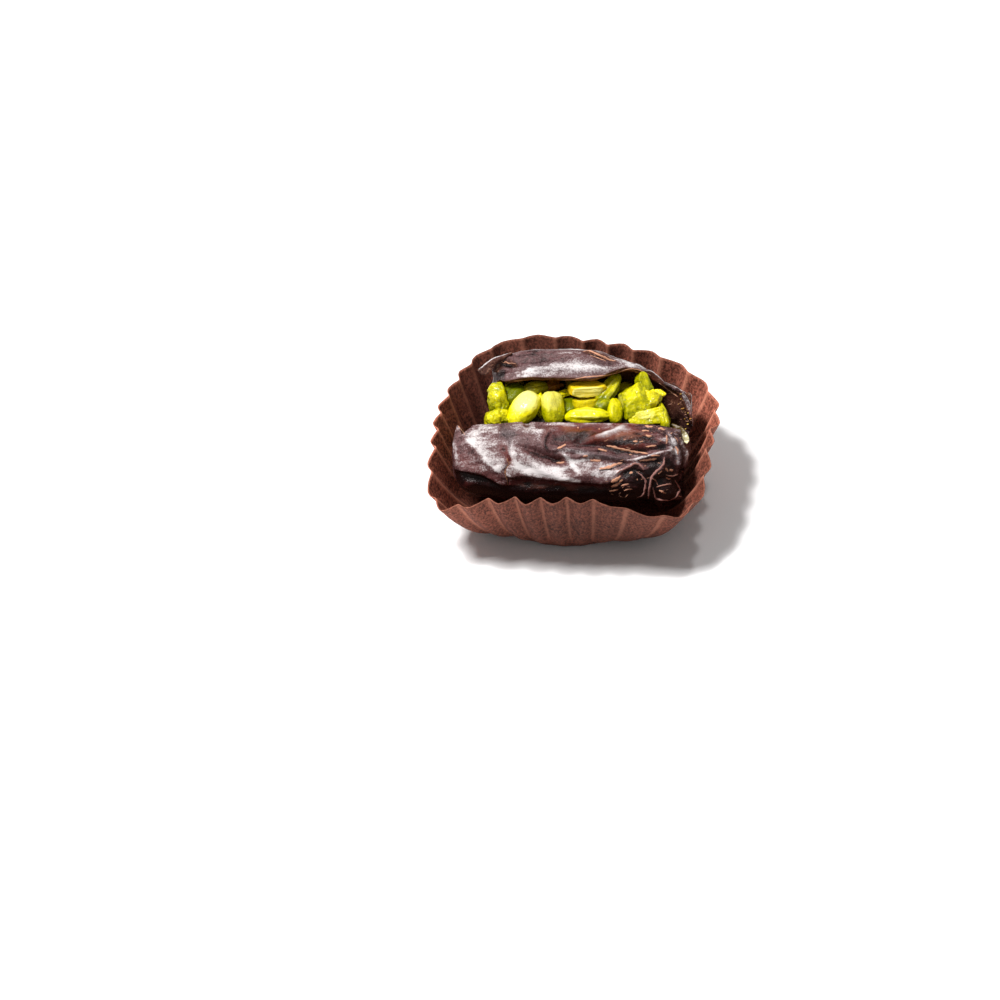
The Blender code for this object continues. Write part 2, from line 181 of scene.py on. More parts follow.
def unit(vectors):
    return vectors / np.maximum(np.linalg.norm(vectors, axis=-1, keepdims=True), 1e-9)


def grain(points, size, octaves=3, roughness=0.9, seed=0.0):
    """Soft random values from about -1 to 1 at points, in grains of a size in millimetres."""
    scaled = points / size + seed
    return np.array([noise.fractal(Vector(p), roughness, 2.0, octaves) for p in scaled.tolist()])


# The photograph's view


def camera_axes():
    """The camera's right, up and back directions, and its place in millimetres."""
    elevation, roll = radians(CAMERA_ELEVATION), radians(CAMERA_ROLL)
    back = np.array([0.0, -cos(elevation), sin(elevation)])
    level_up = np.array([0.0, sin(elevation), cos(elevation)])
    level_right = np.array([1.0, 0.0, 0.0])
    right = cos(roll) * level_right - sin(roll) * level_up
    up = sin(roll) * level_right + cos(roll) * level_up
    aside = (BASE_PIXEL[0] - PICTURE_SIDE / 2) * PIXEL
    above = (PICTURE_SIDE / 2 - BASE_PIXEL[1]) * PIXEL
    place = CAMERA_DISTANCE * back - aside * right - above * up
    return right, up, back, place + np.array([0.0, 0.0, CAMERA_RAISED])


RIGHT, UP, BACK, EYE = camera_axes()


def in_picture(points):
    """The photograph's pixels at which points in millimetres are seen."""
    away = points - EYE
    scale = CAMERA_DISTANCE / PIXEL / -(away @ BACK)
    half = PICTURE_SIDE / 2
    return np.stack([half + scale * (away @ RIGHT), half - scale * (away @ UP)], -1)


def sight(pixel):
    """The direction in which the camera sees a pixel."""
    aside = (pixel[0] - PICTURE_SIDE / 2) * PIXEL
    above = (PICTURE_SIDE / 2 - pixel[1]) * PIXEL
    return Vector(RIGHT * aside + UP * above - BACK * CAMERA_DISTANCE).normalized()


def line_distance(pixels, line):
    """How far pixels are from a smooth line, in millimetres: the distance, below it or not, share."""
    steps = np.linspace(0.0, 1.0, 6 * len(line) - 5)
    dots = curve_through(line, steps)
    nearest = np.full(len(pixels), 1e9)
    below = np.zeros(len(pixels), bool)
    share = np.zeros(len(pixels))
    for a, b, start, end in zip(dots, dots[1:], steps, steps[1:]):
        along = b - a
        off = pixels - a
        t = np.clip(off @ along / max(along @ along, 1e-9), 0.0, 1.0)
        distance = np.linalg.norm(off - t[:, None] * along, axis=1)
        closer = distance < nearest
        nearest[closer] = distance[closer]
        below[closer] = (along[0] * off[:, 1] - along[1] * off[:, 0] > 0.0)[closer]
        share[closer] = mix(start, end, t)[closer]
    return nearest * PIXEL, below, share


def stroke(pixels, line, above, below_it):
    """1 along a line of the photograph, falling off over half widths on its two sides and its ends."""
    distance, below, share = line_distance(pixels, line)
    ends = smooth_step(-0.02, 0.18, share) * smooth_step(-0.02, 0.18, 1.0 - share)
    return bell(distance, np.where(below, below_it, above)) * mix(0.35, 1.0, ends)


# Meshes


def grid(bm, columns, rows):
    """A flat grid of columns by rows faces; its corners in order, row by row."""
    made = bmesh.ops.create_grid(bm, x_segments=columns, y_segments=rows, size=0.5)["verts"]
    order = [None] * ((columns + 1) * (rows + 1))
    for vert in made:
        i = round((vert.co.x + 0.5) * columns)
        j = round((vert.co.y + 0.5) * rows)
        order[j * (columns + 1) + i] = vert
    return order


def places_of(verts):
    return np.array([vert.co.to_tuple() for vert in verts])


def place_verts(verts, points):
    for vert, point in zip(verts, points.tolist()):
        vert.co = point


def new_mesh(*attributes):
    """An empty mesh whose corners hold numbers with these names, for the finishes to read."""
    bm = bmesh.new()
    for name in attributes:
        bm.verts.layers.float.new(name)
    return bm


def paint(bm, verts, **layers):
    """Writes numbers at corners under the mesh's attribute names."""
    for name, values in layers.items():
        layer = bm.verts.layers.float[name]
        for vert, value in zip(verts, np.broadcast_to(values, len(verts)).tolist()):
            vert[layer] = value


def add_piece(name, bm, finish, node=None):
    """Makes a piece of a bmesh in millimetres, with its finish, riding on the part's body."""
    bmesh.ops.scale(bm, vec=(MM, MM, MM), verts=bm.verts)
    mesh = bpy.data.meshes.new(name)
    bm.to_mesh(mesh)
    bm.free()
    mesh.shade_smooth()
    mesh.materials.append(finish)
    piece = bpy.data.objects.new(name, mesh)
    bpy.context.scene.collection.objects.link(piece)
    if node:
        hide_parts(node)
        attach(piece, BODY)
    return piece


# Finishes


class Wire:
    """A socket that carries numbers, for sums written as Python expressions."""

    def __init__(self, finish, socket):
        self.finish = finish
        self.socket = socket

    def _sum(self, operation, *values, clamp=False):
        settings = {"operation": operation, "use_clamp": clamp}
        return self.finish.node("ShaderNodeMath", settings, dict(enumerate(values)))

    def __add__(self, other):
        return self._sum("ADD", self, other)

    def __sub__(self, other):
        return self._sum("SUBTRACT", self, other)

    def __rsub__(self, other):
        return self._sum("SUBTRACT", other, self)

    def __mul__(self, other):
        return self._sum("MULTIPLY", self, other)

    __radd__ = __add__
    __rmul__ = __mul__

    def clamped(self):
        return self._sum("ADD", self, 0.0, clamp=True)

    def between(self, low, high):
        """0 below low, 1 above high and smooth between."""
        settings = {"interpolation_type": "SMOOTHSTEP"}
        sockets = {"Value": self, "From Min": low, "From Max": high}
        return self.finish.node("ShaderNodeMapRange", settings, sockets)


class Finish:
    """A material under construction."""

    def __init__(self, name):
        self.material = bpy.data.materials.new(name)
        self.material.use_nodes = True
        self.tree = self.material.node_tree
        self.tree.nodes.clear()
        self.shader = self.tree.nodes.new("ShaderNodeBsdfPrincipled")
        output = self.tree.nodes.new("ShaderNodeOutputMaterial")
        self.tree.links.new(self.shader.outputs["BSDF"], output.inputs["Surface"])
        self.coordinates = self.node("ShaderNodeTexCoord", out="Object")

    def feed(self, socket, value):
        if isinstance(value, Wire):
            self.tree.links.new(value.socket, socket)
        elif socket.type == "RGBA":
            socket.default_value = (*value[:3], 1.0)
        else:
            socket.default_value = value

    def node(self, kind, settings=None, sockets=None, out=0):
        """Adds a node: its settings first, then the values or links of its sockets."""
        made = self.tree.nodes.new(kind)
        for key, value in (settings or {}).items():
            setattr(made, key, value)
        for key, value in (sockets or {}).items():
            self.feed(made.inputs[key], value)
        return Wire(self, made.outputs[out])

    def attribute(self, name):
        return self.node("ShaderNodeAttribute", {"attribute_name": name}, out="Fac")

    def speckle(self, size, detail=3.0, roughness=0.55, stretch=(1.0, 1.0, 1.0), distortion=0.0):
        """Noise from 0 to 1 in grains of a size in millimetres, stretched along the axes."""
        scale = tuple(1.0 / (MM * size * s) for s in stretch)
        spread = self.node("ShaderNodeMapping", None, {"Vector": self.coordinates, "Scale": scale})
        sockets = {"Vector": spread, "Scale": 1.0, "Detail": detail}
        sockets.update({"Roughness": roughness, "Distortion": distortion})
        return self.node("ShaderNodeTexNoise", None, sockets)

    def blend(self, share, a, b):
        """Mixes two colours."""
        return self.node("ShaderNodeMix", {"data_type": "RGBA"}, {0: share, 6: a, 7: b}, out=2)

    def relief(self, height, depth, strength):
        """Bumps of a depth in millimetres from a height of 0 to 1."""
        sockets = {"Height": height, "Distance": depth * MM, "Strength": strength}
        return self.node("ShaderNodeBump", None, sockets)

    def done(self, **sockets):
        """Sets the shader's sockets, whose names are given with _ for a space."""
        for name, value in sockets.items():
            self.feed(self.shader.inputs[name.replace("_", " ")], value)
        return self.material


def rgb(red, green, blue):
    """A colour as seen on a screen, 0 to 255, as the renderer's numbers."""
    parts = (red / 255.0, green / 255.0, blue / 255.0)
    return tuple(c / 12.92 if c <= 0.04045 else ((c + 0.055) / 1.055) ** 2.4 for c in parts)


# Settings


def colour_setting(name, description, default):
    return FloatVectorProperty(
        name=name, description=description, default=default, size=3, min=0.0, max=1.0, subtype="COLOR",
    )


def length_setting(name, description, default, lowest, highest):
    """A length, given in millimetres."""
    return FloatProperty(
        name=name, description=description, default=default * MM, min=lowest * MM, max=highest * MM,
        unit="LENGTH", subtype="DISTANCE",
    )


class CaseSettings(PropertyGroup):
    thickness: length_setting("Paper Thickness", "Thickness of the case's paper", 0.14, 0.05, 0.3)
    columns: IntProperty(
        name="Steps a Pleat", description="Faces across each pleat", default=24, min=8, max=40,
    )
    rows: IntProperty(
        name="Steps up the Wall", description="Faces up the wall", default=38, min=10, max=80,
    )
    unevenness: length_setting("Unevenness", "How far the paper strays from even pleats", 0.16, 0.0, 0.3)
    colour: colour_setting("Paper", "Colour of the paper", rgb(125, 71, 56))
    # The crease colour also paints the light that comes through the thin cut edge.
    worn: colour_setting("Creases", "Colour of the paper's worn creases and cut edge", rgb(176, 112, 90))


class DateSettings(PropertyGroup):
    columns: IntProperty(
        name="Steps Along", description="Faces along the date", default=264, min=60, max=400,
    )
    rows: IntProperty(
        name="Steps Round", description="Faces round the date's skin", default=260, min=60, max=400,
    )
    wrinkles: length_setting("Wrinkles", "Depth of the fine wrinkles all over the skin", 0.16, 0.0, 0.4)
    # The darkest skin, which also serves as painted shade in hollows and underneath.
    skin: colour_setting("Skin", "Colour of the skin in its hollows", rgb(15, 4, 5))
    ruddy: colour_setting("Ruddy Skin", "Colour of the skin where the flesh shines through", rgb(96, 34, 30))
    # The cool colour also tints the painted sheen.
    cool: colour_setting("Cool Skin", "Colour of the skin where it is dusty and grey", rgb(88, 74, 76))
    # Sugar bloom, which also paints the sheen of light on the skin.
    bloom_and_sheen: colour_setting("Bloom", "Colour of the sugar bloom on the skin", rgb(214, 207, 206))
    scar: colour_setting("Raised Lines", "Colour of the fine raised lines on the skin", rgb(158, 112, 104))
    honey: colour_setting("Thin Skin", "Colour of the skin where light comes through it", rgb(146, 84, 34))
    flesh: colour_setting("Flesh", "Colour of the flesh inside", rgb(66, 28, 13))
    # A painted glow of light coming through the thin flesh under the lips.
    copper: colour_setting("Thin Flesh", "Colour of the flesh under the lips", rgb(124, 48, 14))
    torn: colour_setting("Torn Flesh", "Colour of torn flesh and of cracks in the skin", rgb(222, 162, 126))


class FillingSettings(PropertyGroup):
    fineness: IntProperty(
        name="Fineness", description="Subdivisions of each kernel that shows", default=5, min=3, max=6,
    )
    wrinkles: length_setting("Wrinkles", "Depth of the kernels' wrinkles", 0.12, 0.0, 0.3)
    yellow: colour_setting("Yellow", "Colour of the ripest kernels", rgb(244, 230, 0))
    green: colour_setting("Green", "Colour of the greenest kernels", rgb(102, 110, 0))
    pale: colour_setting("Cut Face", "Colour of the kernels' cut faces", rgb(250, 240, 136))
    amber: colour_setting("Amber", "Colour of the syrup-soaked pieces", rgb(255, 206, 34))
    russet: colour_setting("Russet", "Colour of the red-brown bit among the kernels", rgb(112, 44, 10))
    syrup: colour_setting("Syrup", "Colour of the crumbs and syrup between the kernels", rgb(58, 44, 6))
    glaze: FloatProperty(
        name="Glaze", description="How much syrup coats the kernels", default=0.45,
        min=0.0, max=1.0, subtype="FACTOR",
    )


class StageSettings(PropertyGroup):
    floor: colour_setting("Floor", "Colour of the floor", (0.90, 0.90, 0.90))
    surround: FloatProperty(
        name="Surround", description="Strength of the white surround", default=0.29, min=0.0, max=3.0,
    )
    key: FloatProperty(
        name="Key Light", description="Power of the light above at the left", default=3.1,
        min=0.0, max=100.0, unit="POWER",
    )
    spark: FloatProperty(
        name="Spark Light", description="Power of the small light that makes wet things glint",
        default=0.55, min=0.0, max=10.0, unit="POWER",
    )
    lens: FloatProperty(
        name="Lens", description="Focal length that gives the photograph's frame, in millimetres",
        default=SENSOR * CAMERA_DISTANCE / (PIXEL * PICTURE_SIDE), min=10.0, max=500.0,
    )


class StuffedDateSettings(PropertyGroup):
    case: PointerProperty(type=CaseSettings)
    date: PointerProperty(type=DateSettings)
    filling: PointerProperty(type=FillingSettings)
    stage: PointerProperty(type=StageSettings)


def settings():
    return bpy.context.scene.stuffed_date


# Paper case

# Painted light: a pale band along the cut edge, where light comes through the thin paper.
RIM_EDGE_LIGHT = 0.5  # width of the pale band along the cut edge
RIM_WAVE = 0.12
CRISPNESS = 0.65  # how far the pleats are folded flat instead of waved
GENTLE_FRONT = (293.0, 18.0, 0.60)  # direction, half width, how much lower the pleats are there
LOBE_HEIGHTS = (0.72, 1.15)
LOBE_SEED = 5
ROWS_CROWDING = 1.25  # how much closer together the rows of faces are towards the foot
FIBRE_SIZE = 0.42
TOOTH_SIZE = 0.3
CLOUD_SIZE = 4.0
FIBRE_DARK, FIBRE_LIGHT = 0.27, 1.7  # shares of the paper's colour
# Painted shade: the paper is drawn darker towards its foot, where the date and the wall shade it.
FOOT_SHADE = 0.35  # how much darker the paper is towards its foot
# Painted light and shade: walls facing the key light are drawn paler, walls turned away darker.
WALL_SHADES = (  # direction, half width, how much paler or darker the paper is there
    (4.0, 20.0, 0.85),
    (98.0, 42.0, -0.34),
    (185.0, 34.0, 0.75),
    (272.0, 45.0, -0.30),
)


def wall_points(direction, along, wave):
    """Points of the paper, along millimetres up the wall, wave from -1 (crease) to 1 (fold)."""
    flare = np.full_like(direction, WALL_FLARE)
    for middle, half_width, extra in WALL_PRESSED:
        flare = flare + extra * bell_round(direction, middle, half_width)
    tilt = np.radians(flare)
    belly = WALL_BELLY * flare * np.sin(pi * (along / WALL_SLANT) ** BELLY_LOWER)
    lift = PLEAT_HEIGHT * np.sqrt(along / WALL_SLANT) * wave
    reach = BASE_RADIUS + along * np.sin(tilt) + (belly + lift) * np.cos(tilt)
    foot = np.minimum(along / FOOT, 1.0)
    height = PART_PAPER + along * np.cos(tilt) - (belly + lift) * np.sin(tilt) * foot
    angle = np.radians(direction)
    return np.stack([reach * np.cos(angle), reach * np.sin(angle), height], -1)


def pleat_wave(turn):
    phase = np.radians(turn * PLEATS)
    folded = np.arcsin(0.99 * np.cos(phase)) / np.arcsin(0.99)
    waved = np.cos(phase) - PLEAT_CREASE * np.cos(2.0 * phase)
    return mix(waved, folded, CRISPNESS)


def pleat_directions(turn):
    shift = PLEAT_OFFSET
    for wave, size, peak in PLEAT_CROWDING:
        shift = shift + size * np.cos(np.radians(wave * (turn - peak)))
    return turn + shift


def paper_finish(values):
    """Dark brown greaseproof paper: fibres, a fine tooth, paler worn creases, a pale edge of painted light,
    and painted light and shade over the walls.
    """
    finish = Finish("brown_paper")
    fibres = finish.speckle(FIBRE_SIZE, detail=4.0, roughness=0.75, stretch=(1.0, 1.0, 1.5))
    tooth = finish.speckle(TOOTH_SIZE, detail=3.0, roughness=0.7)
    clouds = finish.speckle(CLOUD_SIZE, detail=3.0)
    worn = (finish.attribute("worn") * (0.25 + 1.1 * fibres)).clamped()
    dark = tuple(part * FIBRE_DARK for part in values.colour)
    light = tuple(min(part * FIBRE_LIGHT, 1.0) for part in values.colour)
    colour = finish.blend(fibres.between(0.38, 0.64), dark, light)
    colour = finish.blend(tooth.between(0.46, 0.32) * 0.6, colour, dark)
    colour = finish.blend(clouds.between(0.3, 0.8) * 0.35, colour, values.colour)
    colour = finish.blend(tooth.between(0.60, 0.78) * 0.35, colour, values.worn)
    colour = finish.blend(worn, colour, values.worn)
    shaded = {0: colour, "Scale": 1.0 + finish.attribute("shade")}
    colour = finish.node("ShaderNodeVectorMath", {"operation": "SCALE"}, shaded)
    bumps = finish.relief(fibres * 0.5 + tooth * 0.5, 0.12, 0.8)
    return finish.done(Base_Color=colour, Roughness=0.78, Normal=bumps, Specular_IOR_Level=0.2)


class MakeCase(Operator):
    """Makes the pleated paper case"""

    bl_idname = "stuffed_date.make_case"
    bl_label = "Paper Case"
    bl_options = {"REGISTER", "UNDO"}

    def execute(self, context):
        values = settings().case
        columns = PLEATS * values.columns
        alongs = WALL_SLANT * np.linspace(0.0, 1.0, values.rows + 1) ** ROWS_CROWDING
        bm = new_mesh("worn", "shade")
        bmesh.ops.create_circle(bm, cap_ends=True, segments=columns, radius=BASE_RADIUS)
        rim = [edge for edge in bm.edges if edge.is_boundary]
        rows = [(0.0, self.corners(rim))]
        for along in alongs[1:]:
            grown = bmesh.ops.extrude_edge_only(bm, edges=rim)["geom"]
            rim = [item for item in grown if isinstance(item, bmesh.types.BMEdge)]
            rows.append((along, self.corners(rim)))
        for along, verts in reversed(rows):
            self.shape_row(bm, along, verts, values)
        bmesh.ops.recalc_face_normals(bm, faces=bm.faces)
        case = add_piece("case_paper", bm, paper_finish(values), "paper_case")
        thicken = case.modifiers.new("thickness", "SOLIDIFY")
        thicken.thickness = values.thickness
        thicken.offset = 1.0
        thicken.use_even_offset = False
        return {"FINISHED"}

    def corners(self, edges):
        return list(dict.fromkeys(vert for edge in edges for vert in edge.verts))

    def shape_row(self, bm, along, verts, values):
        """Bends a ring of corners into the wall at one height, with the paper's own unevenness."""
        flat = places_of(verts)
        turn = np.degrees(np.arctan2(flat[:, 1], flat[:, 0])) % 360.0
        wave = pleat_wave(turn)
        lobe = np.floor(turn * PLEATS / 360.0 + 0.5) % PLEATS
        draw = random.Random(LOBE_SEED)
        lobe_height = np.array([draw.uniform(*LOBE_HEIGHTS) for _ in range(PLEATS)])[lobe.astype(int)]
        rise = along / WALL_SLANT
        worn = smooth_step(-0.70, -1.02, wave) * smooth_step(0.1, 0.4, rise) * 0.9
        wave = np.where(wave > 0.0, wave * mix(1.0, lobe_height, rise), wave)
        direction = pleat_directions(turn)
        middle, half_width, lower = GENTLE_FRONT
        wave = wave * (1.0 - lower * bell_round(direction, middle, half_width))
        points = wall_points(direction, np.full_like(turn, along), wave)
        outward = unit(points * (1.0, 1.0, 0.0))
        crumple = grain(points, 5.0, octaves=3) * rise * values.unevenness / MM
        points = points + outward * (crumple[:, None] + 0.02)
        points[:, 2] += RIM_WAVE * rise**6 * grain(points, 3.0, octaves=2, seed=4.0)
        place_verts(verts, points)
        # The pale band along the cut edge is painted light coming through the thin paper; it joins the
        # creases' wear in the worn layer.
        edge = smooth_step(1.0 - RIM_EDGE_LIGHT / WALL_SLANT, 1.0, rise) * 0.45
        # The shade layer holds painted light and shade, by direction and towards the foot.
        shade = np.zeros_like(turn)
        for middle, half_width, lighter in WALL_SHADES:
            shade += lighter * bell_round(direction, middle, half_width)
        shade = shade * smooth_step(0.1, 0.6, rise) - FOOT_SHADE * smooth_step(0.85, 0.3, rise)
        paint(bm, verts, worn=np.maximum(worn, edge), shade=shade)


# Date

ROW_SPACING = ((0.0, 0.0), (0.46, 0.30), (0.58, 0.56), (0.75, 0.80), (1.0, 1.0))  # share of rows, place
COLUMN_CROWDING = 0.86
LIP_ROWS = 5
LIP_THICKNESS = 0.4
LIP_LAYERS = {"flesh": 1.0, "red": 0.8, "tone": 0.2}  # where the skin has rolled over the lip
INNER_ROWS = 60
LONGEST_GAP = 4.0  # a raised line ends where the skin behind it is further off than this
FRONT_LIP_DROP = (  # pixel across the photograph, millimetres that the lip lies lower there
    (452.0, 4.6), (455.0, 2.4), (457.5, 0.4), (460.0, 1.4), (464.5, 4.6), (467.0, 3.6), (474.0, 0.7),
    (479.0, 0.1), (522.0, 0.05), (524.0, 1.1), (529.0, 1.2), (531.0, 0.1), (640.0, 0.0),
    (662.0, 0.3), (672.0, 0.7), (690.0, 0.8),
)
BACK_LIP_DROP = (
    (484.0, 1.0), (490.0, 1.4), (500.0, 1.3), (505.0, 0.2), (508.0, 0.0), (551.0, 0.0), (553.0, 0.35),
    (557.0, 0.0), (640.0, 0.0),
)
DATE_ROUND = 80.0  # millimetres round the date from lip to lip
FRONT_FOLDS = (  # line in the photograph, height, half width above it and below it
    (((465, 440), (476, 452), (485, 462), (494, 468), (505, 475)), 0.50, 1.6, 0.7),
    (((457, 469), (467, 470), (480, 472), (490, 477), (498, 481), (507, 485)), 0.60, 1.2, 0.25),
    (((458, 473), (468, 475), (480, 478), (492, 484), (505, 491)), -0.70, 0.35, 0.8),
    (((464, 484), (478, 482), (492, 486), (505, 493)), 0.45, 0.7, 0.8),
    (((511, 440), (511, 452), (511, 464)), -0.40, 0.35, 0.35),
    (((510, 464), (506, 468), (505.6, 474), (508, 480), (508, 486)), -0.45, 0.16, 0.16),
    (((507, 477), (528, 475), (547, 478), (565, 479), (580, 481), (600, 482), (614, 482)), 0.55, 1.3, 0.35),
    (((509, 484), (530, 483), (560, 485), (590, 488), (612, 489)), -0.75, 0.45, 1.1),
    (((520, 447), (533, 450), (545, 455), (556, 460), (567, 464)), -0.50, 0.5, 0.5),
    (((523, 460), (534, 465), (543, 470), (556, 474), (568, 476), (585, 474), (600, 470)), 0.45, 0.6, 0.7),
    (((549, 440), (562, 443), (582, 443), (602, 445), (622, 449), (642, 452), (660, 450)), -0.80, 1.0, 0.7),
    (((560, 426), (552, 430), (546, 436), (545, 446), (551, 450), (560, 449)), 0.30, 0.35, 0.35),
    (((554, 436), (562, 434), (575, 436), (586, 438)), -0.40, 1.1, 1.1),
    (((554, 454), (565, 456), (576, 458), (590, 455), (610, 457), (624, 460), (637, 460)), 0.55, 0.45, 0.6),
    (((630, 461), (643, 457), (655, 454), (667, 451), (672, 450)), 0.60, 0.35, 0.5),
    (((592, 438), (600, 436), (610, 433), (618, 430), (628, 427)), 0.50, 0.6, 0.6),
    (((574, 437), (579, 434), (586, 431)), 0.30, 0.4, 0.4),
    (((563, 430), (572, 428), (584, 427)), -0.25, 0.5, 0.5),
    (((616, 473), (624, 468), (631, 465), (636, 463), (640, 466), (644, 470)), 0.50, 0.4, 0.3),
    (((622, 475), (632, 470), (638, 471), (643, 475)), -0.45, 0.4, 0.6),
    (((637, 472), (642, 476), (646, 481), (646, 487), (644, 492), (643, 496)), 0.30, 0.3, 0.3),
    (((665, 457), (664, 463), (661, 469), (655, 475), (651, 481), (649, 487), (648, 500)), 0.45, 0.35, 0.35),
    (((646, 463), (653, 462), (659, 463)), -0.50, 0.6, 0.6),
    (((657, 489), (666, 488), (676, 488)), 0.60, 1.0, 1.2),
    (((652, 487), (653, 493), (657, 498), (667, 501), (674, 499), (680, 492), (679, 486)), 0.25, 0.25, 0.25),
    (((655, 483), (664, 479), (675, 481)), -0.40, 0.3, 0.3),
    (((668, 431), (674, 440), (679, 453), (679, 467)), 0.50, 0.3, 0.3),
    (((676, 436), (684, 447), (686, 462)), 0.25, 0.3, 0.3),
    (((670, 437), (675, 449), (675, 462)), -0.25, 0.3, 0.3),
    (((683, 470), (687, 480)), -0.45, 0.5, 0.5),
)
BACK_FOLDS = (
    (((484, 366), (491, 360), (500, 357), (516, 352), (535, 350)), 0.25, 0.3, 0.3),
    (((480, 372), (489, 369), (499, 365), (508, 364), (516, 365)), -1.20, 0.45, 0.5),
    (((493, 371), (502, 370), (511, 369)), -0.70, 0.5, 0.5),
    (((515, 362), (530, 361), (545, 358), (560, 356)), -0.25, 0.6, 0.6),
    (((520, 374), (550, 368), (580, 368), (612, 372)), 0.30, 0.9, 0.9),
    (((583, 352), (589, 352), (596, 355), (603, 357), (614, 360)), -0.50, 0.22, 0.25),
)
FRONT_PULLS = (  # where in the photograph, how many pixels aside and down, half width
    ((676, 492), (6, 8), 1.7),
    ((660, 497), (1, 7), 1.7),
)
BACK_PULLS = (  # as for the front
    ((481, 378), (9, 0), 2.2),
    ((480, 396), (9, 0), 2.2),
    ((480, 414), (8, 0), 2.2),
    ((503, 361), (0, -4.5), 1.1),
    ((511, 357), (0, -2.5), 1.0),
    ((526, 349), (0, 0.9), 1.2),
    ((632, 361), (0, 2.0), 1.2),
    ((651, 374), (0, -2.5), 1.0),
    ((665, 379), (0, 4.5), 1.2),
    ((687, 401), (3, -6), 1.3),
)
# Below this line the front flap's underside is painted in shade.
OVERHANG = (  # where the front flap turns under
    (440, 466), (467, 470), (483, 475), (497, 481), (510, 483), (540, 484), (575, 486), (610, 489),
    (640, 496), (690, 506),
)
# The front tones paint bloom together with painted highlights on ridges and painted shade in troughs and
# hollows.
FRONT_TONES = (  # line in the photograph, how much paler or darker, half width above it and below it
    (((464, 436), (478, 450), (490, 463), (503, 472)), 0.50, 2.3, 0.5),
    (((484, 436), (490, 441), (498, 446)), 0.18, 1.0, 1.0),
    (((477, 427), (488, 428), (500, 431)), 0.22, 0.8, 1.0),
    (((454, 440), (455, 450), (457, 462)), 0.25, 0.4, 0.5),
    (((513, 441), (513, 458), (521, 467), (532, 472), (545, 474)), 0.50, 1.3, 1.3),
    (((520, 468), (541, 473), (565, 478), (582, 481)), 0.55, 0.6, 0.4),
    (((523, 455), (535, 463), (548, 468), (565, 474)), 0.32, 0.8, 0.7),
    (((525, 427), (534, 430), (543, 434)), 0.34, 1.1, 1.2),
    (((546, 424), (560, 424), (577, 425)), 0.28, 0.5, 0.4),
    (((592, 438), (604, 434.5), (613, 432), (624, 427.5)), 0.28, 0.35, 0.45),
    (((556, 432), (566, 430), (578, 433), (590, 436)), -0.08, 1.0, 1.5),
    (((586, 420), (602, 419.5), (622, 421), (640, 424)), 0.14, 0.5, 0.5),
    (((583, 423), (596, 422), (612, 423)), 0.25, 0.4, 0.5),
    (((556, 450), (569, 450), (577, 452), (590, 457), (605, 458), (623, 461)), 0.28, 0.5, 0.4),
    (((623, 461), (640, 458), (653, 454), (664, 451), (671, 450)), 0.50, 0.15, 0.2),
    (((561, 453), (570, 460), (574, 467), (580, 474)), 0.50, 0.5, 0.5),
    (((571, 461), (577, 461), (586, 459)), 0.35, 0.4, 0.4),
    (((578, 468), (592, 472), (603, 474), (616, 471)), 0.42, 1.3, 0.8),
    (((598, 466), (606, 466), (616, 464)), 0.25, 0.4, 0.4),
    (((616, 473), (627, 467), (637, 463), (644, 469)), 0.40, 0.35, 0.35),
    (((666, 432), (673, 441), (677, 453), (677, 468)), 0.36, 0.25, 0.25),
    (((680, 440), (685, 450), (686, 462)), 0.30, 0.25, 0.25),
    (((672, 436), (680, 448), (682, 464)), -0.30, 0.2, 0.2),
    (((656, 490), (666, 488), (677, 491)), 0.16, 0.8, 0.8),
    (((464, 485), (478, 481), (491, 485)), 0.20, 0.5, 0.6),
    (((515, 487), (560, 489), (605, 491)), 0.12, 0.5, 0.5),
    (((497, 428), (508, 432), (518, 438)), -0.12, 1.1, 1.2),
    (((502, 446), (507, 454), (511, 462)), -0.34, 0.5, 0.6),
    (((523, 449), (535, 454), (546, 457), (556, 461), (565, 463)), -0.36, 0.6, 0.5),
    (((550, 432), (546.5, 437), (545, 445), (549, 451)), -0.35, 0.25, 0.25),
    (((555, 437), (575, 440), (600, 443), (630, 448), (652, 451)), -0.12, 1.8, 0.8),
    (((600, 436), (612, 434), (622, 432), (632, 430)), 0.16, 0.8, 0.8),
    (((670, 444), (673, 454), (674, 466)), 0.46, 0.8, 0.9),
    (((547, 438), (562, 441), (580, 443), (600, 443), (625, 443), (650, 443)), -0.16, 1.1, 0.9),
    (((592, 456.5), (610, 459), (628, 459)), -0.14, 0.5, 0.4),
    (((682, 446), (685, 456), (685, 466)), 0.24, 0.4, 0.3),
    (((600, 446), (625, 451), (650, 452)), -0.22, 0.5, 0.5),
    (((668, 458), (672, 466), (668, 478)), -0.30, 1.3, 1.0),
    (((645, 470), (648, 485), (655, 503)), -0.25, 1.4, 1.0),
    (((608, 492), (625, 492), (645, 500)), -0.35, 1.2, 1.2),
    (((660, 492), (668, 492), (676, 490)), -0.25, 1.4, 1.2),
    (((622, 438), (638, 434), (650, 429), (662, 432)), -0.04, 1.1, 1.3),
    (((556, 429), (573, 431), (590, 430)), -0.10, 0.5, 0.6),
    (((622, 477), (631, 471), (639, 474), (641, 488)), -0.34, 0.6, 1.0),
    (((649, 470), (656, 465), (661, 457)), -0.30, 0.8, 0.6),
    (((646, 488), (647, 500), (652, 504)), -0.25, 0.5, 0.5),
    (((606, 484), (622, 482), (636, 482)), -0.25, 0.6, 0.8),
    (((456, 470), (468, 471), (482, 476), (496, 482), (506, 488)), -0.25, 0.15, 0.8),
    (((681, 468), (690, 482)), -0.25, 0.6, 0.6),
)
